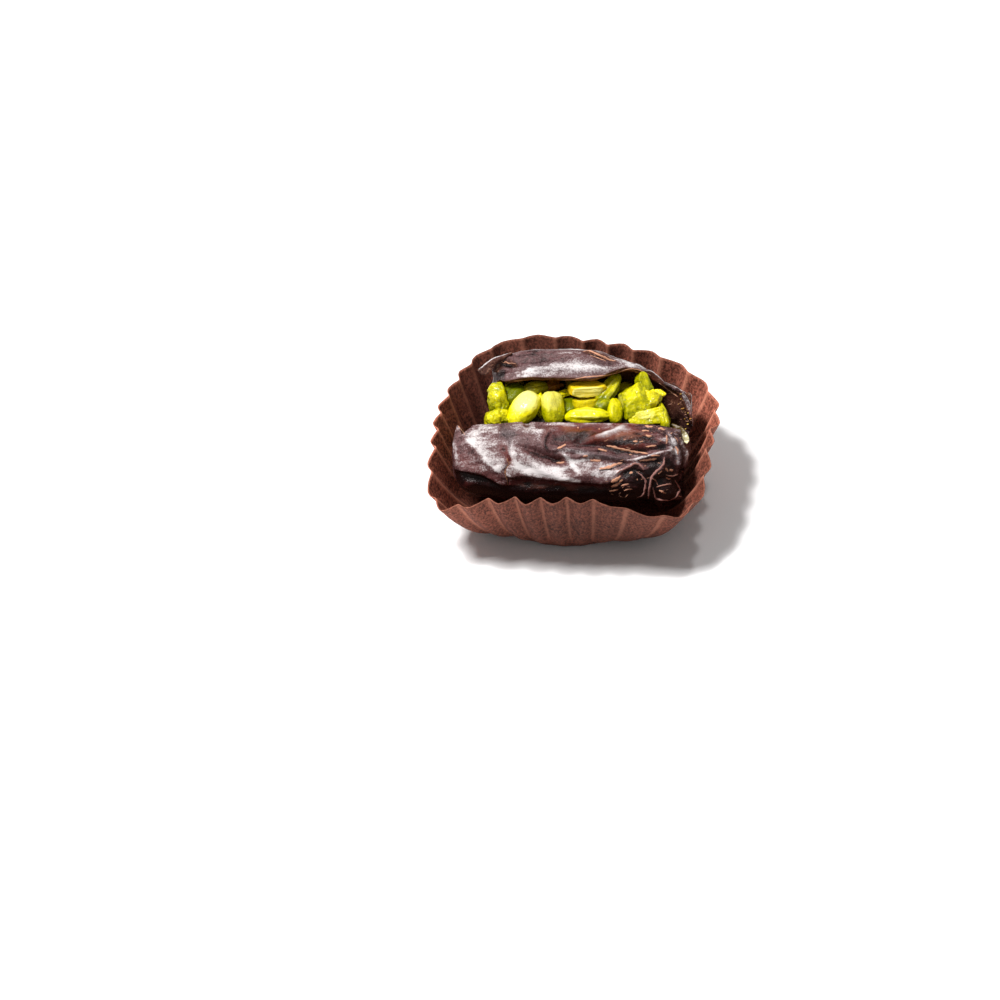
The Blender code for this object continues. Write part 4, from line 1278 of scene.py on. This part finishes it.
    def inner_side(self, bm, values):
        """The flesh's inner side, down to the hollow that the filling lies in."""
        u_line = columns_along(values.columns)
        start, end = lip_places(u_line)
        share = np.linspace(0.0, 1.0, INNER_ROWS + 1)[:, None]
        v = start + (end - start) * share
        u = np.tile(u_line * INNER_REACH, (INNER_ROWS + 1, 1))
        points = under_points(u, v).reshape(-1, 3)
        outward = placed(outward_of(u, v), turn_only=True).reshape(-1, 3)
        fibres = grain(points * (0.5, 1.0, 1.0), 0.9, octaves=3, seed=2.0)
        points = pulled(points - outward * (0.04 + 0.16 * fibres)[:, None], v.ravel())
        verts = grid(bm, values.columns, INNER_ROWS)
        place_verts(verts, points)
        from_lip = np.repeat(np.minimum(share, 1.0 - share), len(u_line))
        # Near the lips the flesh takes the copper colour: a painted glow of light coming through the thin
        # flesh.
        lit_through_lip = smooth_step(0.10, 0.02, from_lip) * smooth_step(0.86, 0.70, np.tile(u_line, INNER_ROWS + 1))
        paint(bm, verts, flesh=1.0, tone=0.2, red=0.5 + 1.0 * lit_through_lip)
        return verts

    def join(self, bm, outer, rows, inner, columns):
        """Closes the flesh along the lips and the two ends."""
        width = columns + 1
        for outer_row, inner_row in ((0, 0), (rows, INNER_ROWS)):
            edge_a = outer[outer_row * width:(outer_row + 1) * width]
            edge_b = inner[inner_row * width:(inner_row + 1) * width]
            self.strip(bm, edge_a, edge_b)
        for column in (0, columns):
            self.strip(bm, outer[column::width], inner[column::width])

    def strip(self, bm, side_a, side_b):
        edges = [self.edge(a, b) for side in (side_a, side_b) for a, b in zip(side, side[1:])]
        bmesh.ops.bridge_loops(bm, edges=edges)

    def edge(self, a, b):
        return next(edge for edge in a.link_edges if edge.other_vert(a) == b)


# Filling

FILLING_GAP = 0.35
CORE_FROM = -0.80
CORE_TO = 0.84
CORE_LIPS = (0.06, 0.79)
CORE_CROWN = 1.4
CORE_END_SIZE = 0.55
CORE_SHRINKING = 12
CORE_STATIONS = 72
CORE_SIDES = 70
CORE_TOP_STEPS = 40
CORE_BUMPS = 0.35
WHOLE, SPLIT, SLIVER, CHUNK, WEDGE, BLOCK = "whole", "split", "sliver", "chunk", "wedge", "block"
RIDGED, SLICE = "ridged", "slice"
KINDS = (WHOLE, SPLIT, SLIVER, CHUNK, WEDGE, BLOCK, RIDGED, SLICE)
KERNELS = (
    # kind, middle, length and width and height, turn round Z, rise of the far end, roll round its
    # length, bluntness; then its colour: ripeness from green to yellow, paleness, how amber
    (CHUNK, (-13.1, 2.2, 21.5), (8.6, 4.6, 4.2), 102, 40, 0, 2.8, 0.42, 0.05, 0.0),
    (CHUNK, (-13.4, -1.2, 20.4), (5.4, 3.8, 4.6), 5, 0, 0, 2.8, 0.52, 0.18, 0.0),
    (WHOLE, (-10.4, 4.6, 21.6), (5.4, 4.4, 3.4), 40, 10, 0, 2.8, -0.25, 0.0, 0.0),
    (WHOLE, (-8.8, -0.3, 21.6), (8.3, 5.6, 3.9), 222, -25, 180, 2.5, 0.95, 0.95, 0.0),
    (WHOLE, (-6.0, 5.2, 21.8), (5.2, 3.2, 3.0), 10, 5, 30, 2.8, 0.10, 0.10, 0.15),
    (SLIVER, (-5.3, 1.2, 20.9), (5.4, 1.8, 2.6), 85, 30, 0, 2.8, 0.95, 0.15, 0.0),
    (WHOLE, (-3.0, -0.4, 21.2), (6.8, 4.6, 3.7), 272, -30, 150, 3.4, 0.55, 0.50, 0.0),
    (WHOLE, (0.2, 1.4, 19.4), (4.8, 4.0, 3.6), 80, 0, 0, 2.8, -0.3, 0.0, 0.0),
    (CHUNK, (-2.6, 6.0, 21.5), (4.6, 2.6, 2.4), 0, 0, 0, 2.8, 0.60, 0.0, 1.9),
    (SLIVER, (-0.4, 3.9, 21.2), (3.4, 2.2, 1.6), 20, 0, 0, 2.8, 1.0, 0.20, 0.0),
    (SLICE, (4.2, 2.9, 22.9), (7.6, 3.6, 3.4), -2, 0, 0, 2.8, 1.1, 0.25, 0.85),
    (SPLIT, (3.7, 0.9, 21.4), (5.2, 3.8, 4.4), 0, 0, -34, 2.4, 0.65, 0.0, 0.25),
    (RIDGED, (3.7, -2.6, 20.5), (8.8, 3.2, 3.0), -4, 0, 0, 2.4, 0.80, 0.28, 0.0),
    (WHOLE, (6.9, 0.1, 20.6), (4.0, 3.6, 3.2), 40, 0, 0, 2.8, 0.05, 0.0, 0.0),
    (RIDGED, (8.4, 3.3, 21.7), (8.0, 3.2, 3.0), 53, 18, 10, 3.0, 0.42, 0.10, 0.0),
    (WHOLE, (9.1, -1.8, 20.6), (5.4, 2.6, 3.0), 88, 25, 120, 2.8, 0.62, 0.10, 0.0),
    (BLOCK, (13.4, 0.0, 21.1), (8.0, 9.2, 6.6), 0, 0, 0, 2.8, 0.50, 0.05, 0.0),
    (SLICE, (15.4, 3.2, 22.4), (5.6, 3.2, 3.0), 112, 30, 20, 2.8, 0.34, -0.3, 0.0),
    (SLIVER, (17.6, 0.8, 21.8), (3.2, 2.0, 1.4), -15, 0, 0, 2.8, 1.0, 0.20, 0.3),
    (CHUNK, (16.2, -0.3, 20.9), (6.0, 6.4, 4.6), 20, 10, 0, 2.8, 0.50, 0.0, 0.1),
    (WEDGE, (15.1, -3.7, 20.2), (7.8, 5.0, 4.2), -6, 0, 32, 2.8, 0.72, 0.30, 0.0),
    (WHOLE, (18.3, -3.3, 19.0), (6.8, 2.2, 4.4), 97, 10, 0, 3.0, 0.50, 0.20, 0.0),
)
END_PIECES = ((-12.8, -1.0, 16.6), (-12.0, 3.2, 17.5), (-14.4, 0.6, 13.1), (18.0, -1.2, 15.7))
END_HEAP = (  # pieces in the date's open left end, with the same columns as KERNELS
    (CHUNK, (-16.2, -0.3, 15.0), (4.8, 3.8, 3.4), 70, 10, 0, 2.4, 0.55, 0.10, 0.0),
    (WHOLE, (-14.8, 3.1, 15.5), (5.4, 3.7, 3.3), 110, 35, 0, 2.5, 0.35, 0.10, 0.1),
    (SLIVER, (-13.2, 6.4, 15.6), (5.2, 3.4, 3.2), 60, -30, 20, 2.4, 0.60, 0.25, 0.0),
    (CHUNK, (-16.5, -1.6, 12.0), (4.6, 3.6, 3.6), 20, 40, 0, 2.4, 0.30, 0.10, 0.0),
    (SLIVER, (-13.9, 4.7, 12.6), (5.6, 3.8, 3.4), 75, 15, 0, 2.4, 0.25, 0.10, 0.0),
    (CHUNK, (-15.0, 2.3, 10.6), (4.8, 3.8, 3.4), 65, 0, 0, 2.4, 0.35, 0.10, 0.0),
    (CHUNK, (-12.7, 7.4, 13.4), (4.2, 3.2, 3.2), 50, 20, 0, 2.4, 0.45, 0.10, 0.0),
)
END_FINENESS = 4
FLAP_PIECES = 5
FLAP_ROW = ((-10.0, 9.0, 19.9), (12.0, 5.9, 18.7))
HIDDEN_SIZE = ((5.0, 6.4), (3.2, 4.0), (3.0, 3.6))
HIDDEN_TURN = (20.0, 160.0)
HIDDEN_RISE = (-20.0, 20.0)
HIDDEN_FINENESS = 3
KERNEL_SEED = 11
CUTS = 11  # flat places on a chunk
FACETS = {WHOLE: 0.04, SPLIT: 0.08, SLIVER: 0.12, CHUNK: 0.26, WEDGE: 0.08, BLOCK: 0.24}
FACET_SIZE, FACETS_OTHERWISE = 0.9, 0.05
BREAKS = {SLIVER: 0.35, CHUNK: 0.6, WEDGE: 0.2, BLOCK: 0.40}
BREAK_SIZE = 2.1
LUMPS_ON_BREAKS = 0.14
# Kernels are drawn yellower on top and greener below: partly green skin left on the lower sides, partly
# painted light and shade.
PALER_ON_TOP = 0.35
# Near-black: the syrup's own dark colour together with painted shade deep between the kernels.
SYRUP_IN_SHADE = (0.006, 0.004, 0.001)
SLICE_CUTS = (  # which way a slice's flat sides face, and how far out they are
    (0.0, 0.1, 1.0, 0.55), (0.0, -1.0, 0.12, 0.70), (-1.0, -0.3, 0.1, 0.90), (0.9, 0.5, 0.1, 0.80),
    (0.0, 1.0, 0.0, 0.80), (0.0, 0.0, -1.0, 0.70), (0.8, -0.7, 0.0, 0.95),
)
WEDGE_CUTS = (  # as for the slice
    (0.05, -0.1, 1.0, 0.42), (1.0, -0.2, 0.1, 0.85), (0.1, -1.0, -0.5, 0.55), (-0.42, 1.0, 0.1, 0.40),
    (0.0, 0.2, -1.0, 0.60), (-1.0, -0.3, 0.0, 0.95),
)
BLOCK_CUTS = (  # as for the slice
    (-1.0, -0.20, 0.15, 0.70), (-0.35, -0.15, 0.95, 0.66), (0.15, -0.80, 0.60, 0.66), (0.65, 0.0, 0.80, 0.70),
    (0.3, -1.0, -0.2, 0.80), (0.0, 1.0, 0.1, 0.85), (1.0, -0.4, 0.0, 0.85), (-0.5, 0.8, 0.6, 0.72),
)


def core_points():
    """Corners of the core, as in the part, row by row round it."""
    i = np.linspace(0.0, 1.0, CORE_STATIONS + 1)
    u = mix(CORE_FROM, CORE_TO, i)
    front, back, bottom = (under_points(u, np.full_like(u, v), FILLING_GAP) for v in (*CORE_LIPS, 0.5))
    size = mix(CORE_END_SIZE, 1.0, np.sqrt(1.0 - np.abs(2.0 * i - 1.0) ** CORE_SHRINKING))
    middle = mix((front + back) / 2.0, bottom, 0.5)
    rows = []
    for j in range(CORE_SIDES + CORE_TOP_STEPS + 1):
        if j <= CORE_SIDES:
            v = mix(*CORE_LIPS, j / CORE_SIDES)
            corner = under_points(u, np.full_like(u, v), FILLING_GAP)
        else:
            over = (j - CORE_SIDES) / CORE_TOP_STEPS
            corner = mix(back, front, over) + (0.0, 0.0, CORE_CROWN * sin(pi * over))
        rows.append(mix(middle, corner, size[:, None]))
    return np.concatenate(rows)


def random_cuts(draw):
    for _ in range(CUTS):
        yield draw.gauss(0.0, 1.0), draw.gauss(0.0, 1.0), draw.gauss(0.0, 1.0), draw.uniform(0.62, 0.95)


def rounded_cuts(ball, cuts, sharpness=16):
    """A ball of radius 1 cut flat, with rounded edges."""
    total = np.zeros(len(ball))
    for *facing, out in cuts:
        total += (np.maximum(ball @ unit(np.array(facing)), 0.0) / out) ** sharpness
    return ball * np.minimum(total ** (-1.0 / sharpness), 1.06)[:, None]


def broken(points, size, depth, seed):
    """Heights, in millimetres, that break a surface into small tilted facets."""
    heights = []
    for point in (points / size + seed).tolist():
        middle = noise.voronoi(point)[1][0]
        heights.append(noise.noise_vector(middle * 7.3).dot(Vector(point) - middle))
    return np.array(heights) * depth


def kernel_shape(kind, ball, blunt, draw):
    """Turns a ball of radius 1 into a pistachio piece; also where its cut face is, from 0 to 1."""
    x, y, z = ball.T
    if kind == CHUNK:
        return rounded_cuts(ball, random_cuts(draw), 24), 0.0 * x
    if kind == BLOCK:
        cut = smooth_step(-0.75, -0.95, x) + 0.5 * smooth_step(0.8, 0.95, z - 0.4 * x)
        return rounded_cuts(ball, BLOCK_CUTS, 56), cut
    if kind == WEDGE:
        return rounded_cuts(ball, WEDGE_CUTS, 50), smooth_step(0.8, 0.95, x) + 0.8 * smooth_step(0.5, 0.8, z)
    if kind == SLICE:
        return rounded_cuts(ball, SLICE_CUTS, 60), 2.6 * smooth_step(-0.45, -0.7, y)
    reach = (np.abs(ball) ** blunt).sum(axis=1) ** (-1.0 / blunt)
    x, y, z = (ball * reach[:, None]).T
    if kind == RIDGED:
        ridges = 1.0 + 0.09 * np.cos(7.0 * np.arctan2(y, z) + 1.5 * x) * np.sqrt(1.0 - np.abs(x))
        slim = (1.0 - 0.22 * np.maximum(x, 0.0)) * ridges
        return np.stack([x, y * slim, z * slim], -1), 0.9 * smooth_step(1.02, 1.08, ridges)
    if kind == WHOLE:
        slim = 1.0 - 0.22 * np.maximum(x, 0.0)
        seam = 1.0 - 0.07 * bell(y, 0.10) * smooth_step(0.0, 0.5, z)
        return np.stack([x, y * slim * 0.98, z * slim * seam], -1), 0.0 * x
    if kind == SPLIT:
        rim = smooth_step(0.55, 1.0, np.sqrt(x * x + y * y))
        face = smooth_step(0.05, 0.30, z)
        flat = mix(0.02, 0.20, rim)
        return np.stack([x, y, mix(z, flat, face)], -1), face * (1.0 - 0.6 * rim)
    slim = 1.0 - 0.45 * np.abs(x) ** 1.5
    sliver = np.stack([x, y * slim, z * (1.0 - 0.55 * np.maximum(x, 0.0))], -1)
    cut = rounded_cuts(unit(sliver), random_cuts(draw)) * np.linalg.norm(sliver, axis=1, keepdims=True)
    return cut, 0.3 + 0.0 * x


def hidden_kernels(draw):
    """Pieces in a row under the back flap and at the ends, as uneven as those that show."""
    middles = [*END_PIECES]
    first, last = np.array(FLAP_ROW)
    middles += [mix(first, last, k / (FLAP_PIECES - 1)) for k in range(FLAP_PIECES)]
    for middle in middles:
        size = [draw.uniform(*span) for span in HIDDEN_SIZE]
        turn, rise = draw.uniform(*HIDDEN_TURN), draw.uniform(*HIDDEN_RISE)
        yield WHOLE, middle, size, turn, rise, 0, 2.6, draw.uniform(0.0, 0.5), 0.0, 0.2


def pistachio_finish(values):
    """Moist green to yellow kernels, paler where cut, with painted light on their tops and painted shade
    below, under a glaze of syrup.
    """
    finish = Finish("pistachio")
    ripe = finish.attribute("ripe")
    pale = finish.attribute("pale")
    amber = finish.attribute("amber")
    patches = finish.speckle(1.4, detail=4.0, roughness=0.6)
    fine = finish.speckle(0.30, detail=4.0, roughness=0.6)
    streaks = finish.speckle(0.5, detail=3.0, roughness=0.5, distortion=0.8)
    tone = (ripe + (patches - 0.5) * 1.3 + (fine - 0.5) * 0.7).clamped()
    colour = finish.blend(tone, values.green, values.yellow)
    colour = finish.blend(amber.clamped() * 0.85, colour, values.amber)
    colour = finish.blend((amber - 1.0).clamped(), colour, values.russet)
    cut = (pale * 1.1 + (patches - 0.5) * 0.5 * pale + (streaks - 0.5) * 0.3).between(0.15, 0.95)
    colour = finish.blend(cut * 0.9, colour, values.pale)
    wet = finish.speckle(0.8, detail=2.0)
    bumps = finish.relief(streaks * 0.6 + fine * 0.4, 0.26, 0.9)
    return finish.done(
        Base_Color=colour, Roughness=0.24 - wet.between(0.4, 0.65) * 0.14, Normal=bumps,
        Coat_Weight=(ripe * 1.2 + 0.15).clamped() * values.glaze, Coat_Roughness=0.05,
        Specular_IOR_Level=0.2, Coat_IOR=1.48,
        Subsurface_Weight=0.15, Subsurface_Radius=(1.0, 0.85, 0.2), Subsurface_Scale=0.6 * MM,
    )


def syrup_finish(values):
    """The dark, wet mass of crumbs and syrup deep between the kernels, its near-black partly painted shade.
    """
    finish = Finish("syrup")
    crumbs = finish.speckle(0.7, detail=4.0, roughness=0.6)
    colour = finish.blend(crumbs.between(0.35, 0.75), SYRUP_IN_SHADE, values.syrup)
    bumps = finish.relief(crumbs, 0.3, 0.9)
    return finish.done(Base_Color=colour, Roughness=0.6, Normal=bumps, Specular_IOR_Level=0.3)


class MakeFilling(Operator):
    """Makes the heap of pistachio kernels: a core, and the pieces that show over it"""

    bl_idname = "stuffed_date.make_filling"
    bl_label = "Filling"
    bl_options = {"REGISTER", "UNDO"}

    LAYERS = ("ripe", "pale", "amber")

    def execute(self, context):
        values = settings().filling
        finish = pistachio_finish(values)
        self.core(values)
        draw = random.Random(KERNEL_SEED)
        noise.seed_set(KERNEL_SEED)  # noise_vector would follow the clock otherwise
        heaps = {kind: new_mesh(*self.LAYERS) for kind in KINDS}
        for kernel in hidden_kernels(draw):
            self.kernel(heaps[WHOLE], kernel, HIDDEN_FINENESS, draw, values)
        for kernel in KERNELS:
            self.kernel(heaps[kernel[0]], kernel, values.fineness, draw, values)
        for kernel in END_HEAP:
            self.kernel(heaps[kernel[0]], kernel, END_FINENESS, draw, values)
        for kind, bm in heaps.items():
            add_piece("kernels_" + kind, bm, finish, "filling")
        return {"FINISHED"}

    def core(self, values):
        bm = new_mesh(*self.LAYERS)
        verts = grid(bm, CORE_STATIONS, CORE_SIDES + CORE_TOP_STEPS)
        points = core_points()
        inward = unit(points.mean(axis=0) - points)
        points = points + inward * (CORE_BUMPS * (1.0 + grain(points, 1.6)))[:, None]
        place_verts(verts, points)
        paint(bm, verts, ripe=0.0, pale=0.0, amber=0.0)
        bmesh.ops.remove_doubles(bm, verts=bm.verts, dist=0.001)
        bmesh.ops.holes_fill(bm, edges=bm.edges, sides=0)
        bmesh.ops.recalc_face_normals(bm, faces=bm.faces)
        add_piece("filling_core", bm, syrup_finish(values), "filling")

    def kernel(self, bm, kernel, fineness, draw, values):
        kind, middle, size, turn, rise, roll, blunt, ripe, pale, amber = kernel
        verts = bmesh.ops.create_icosphere(bm, subdivisions=fineness, radius=1.0)["verts"]
        ball = places_of(verts)
        shape, cut = kernel_shape(kind, ball, blunt, draw)
        half = shape * np.array(size) / 2.0
        seed = draw.uniform(0.0, 100.0)
        depth = values.wrinkles / MM
        height = grain(half * (0.25, 1.0, 1.0), 0.6, octaves=3, seed=seed) * depth * 0.8
        height += grain(half, 2.6, octaves=2, seed=seed) * depth * 1.1
        height += broken(half, FACET_SIZE, FACETS.get(kind, FACETS_OTHERWISE), seed)
        if kind in BREAKS:
            height += broken(half, BREAK_SIZE, BREAKS[kind], seed)
            height += LUMPS_ON_BREAKS * grain(half, 0.8, octaves=3, seed=seed)
        half = half + unit(half / np.array(size) ** 2) * height[:, None]
        rolled = half @ np.array(Matrix.Rotation(radians(roll), 3, "X")).T
        turning = np.array(Euler((0.0, -radians(rise), radians(turn))).to_matrix())
        turned = rolled @ turning.T
        place_verts(verts, turned + np.array(middle))
        # Tops and raised bits are drawn paler and yellower: painted light, with painted shade on the lower
        # sides and in hollows.
        top = unit(turned)[:, 2]
        paleness = pale * mix(0.1, 1.0, smooth_step(0.15, 0.95, top))
        paleness = np.maximum(paleness, cut * min(1.0, pale + 0.3))
        ripeness = ripe + PALER_ON_TOP * (top - 0.75) + height * (0.8 if kind in BREAKS else 0.3)
        paint(bm, verts, ripe=ripeness, pale=paleness + height * pale, amber=amber)


# Stage

FLOOR_SIZE = 3000.0
KEY_LIGHT = ("key_light", (-200.0, 0.0, 480.0), 120.0)  # name, place, size
SPARK_LIGHT = ("spark_light", (-150.0, 10.0, 420.0), 30.0)
BACK_SPARK_LIGHT = ("back_spark_light", (110.0, 150.0, 400.0), 30.0)
BACK_SPARK_SHARE = 0.6
LIGHTS_AIM = (0.0, 0.0, 12.0)


class MakeStage(Operator):
    """Makes the floor, the lights and the camera"""

    bl_idname = "stuffed_date.make_stage"
    bl_label = "Stage"
    bl_options = {"REGISTER", "UNDO"}

    def execute(self, context):
        values = settings().stage
        scene = context.scene
        scene.view_settings.view_transform = "Standard"
        self.floor(values)
        self.surround(scene, values)
        self.softbox(*KEY_LIGHT, values.key)
        self.softbox(*SPARK_LIGHT, values.spark)
        self.softbox(*BACK_SPARK_LIGHT, values.spark * BACK_SPARK_SHARE)
        self.camera(scene, values)
        return {"FINISHED"}

    def floor(self, values):
        bm = bmesh.new()
        bmesh.ops.create_grid(bm, x_segments=8, y_segments=8, size=FLOOR_SIZE / 2)
        finish = Finish("floor")
        material = finish.done(Base_Color=values.floor, Roughness=0.6, Specular_IOR_Level=0.2)
        add_piece("floor", bm, material)

    def surround(self, scene, values):
        world = bpy.data.worlds.new("surround")
        world.use_nodes = True
        background = world.node_tree.nodes["Background"]
        background.inputs["Color"].default_value = (1.0, 1.0, 1.0, 1.0)
        background.inputs["Strength"].default_value = values.surround
        scene.world = world

    def softbox(self, name, place, size, power):
        light = bpy.data.lights.new(name, "AREA")
        light.energy = power
        light.size = size * MM
        lamp = bpy.data.objects.new(name, light)
        lamp.location = Vector(place) * MM
        aim = Vector(LIGHTS_AIM) * MM - lamp.location
        lamp.rotation_euler = aim.to_track_quat("-Z", "Y").to_euler()
        bpy.context.scene.collection.objects.link(lamp)

    def camera(self, scene, values):
        lens = bpy.data.cameras.new("camera")
        lens.sensor_width = SENSOR
        lens.lens = values.lens
        lens.clip_start = 0.01
        camera = bpy.data.objects.new("camera", lens)
        turning = Matrix((RIGHT, UP, BACK)).transposed().to_4x4()
        camera.matrix_world = Matrix.Translation(Vector(EYE) * MM) @ turning
        scene.collection.objects.link(camera)
        scene.camera = camera


OPERATORS = (MakeCase, MakeDate, MakeFilling, MakeStage)
CLASSES = (CaseSettings, DateSettings, FillingSettings, StageSettings, StuffedDateSettings, *OPERATORS)


class StuffedDatePanel(Panel):
    """The sizes and colours, and a button for each step"""

    bl_idname = "VIEW3D_PT_stuffed_date"
    bl_label = "Stuffed Date"
    bl_space_type = "VIEW_3D"
    bl_region_type = "UI"
    bl_category = "Stuffed Date"

    def draw(self, context):
        layout = self.layout
        values = context.scene.stuffed_date
        for group in (values.case, values.date, values.filling, values.stage):
            box = layout.box()
            for name in group.__annotations__:
                box.prop(group, name)
        for operator in OPERATORS:
            layout.operator(operator.bl_idname)


def register():
    for each in (*CLASSES, StuffedDatePanel):
        bpy.utils.register_class(each)
    bpy.types.Scene.stuffed_date = PointerProperty(type=StuffedDateSettings)


def unregister():
    del bpy.types.Scene.stuffed_date
    for each in reversed((*CLASSES, StuffedDatePanel)):
        bpy.utils.unregister_class(each)


def main():
    register()
    for operator in OPERATORS:
        group, name = operator.bl_idname.split(".")
        getattr(getattr(bpy.ops, group), name)()


if __name__ == "__main__":
    main()
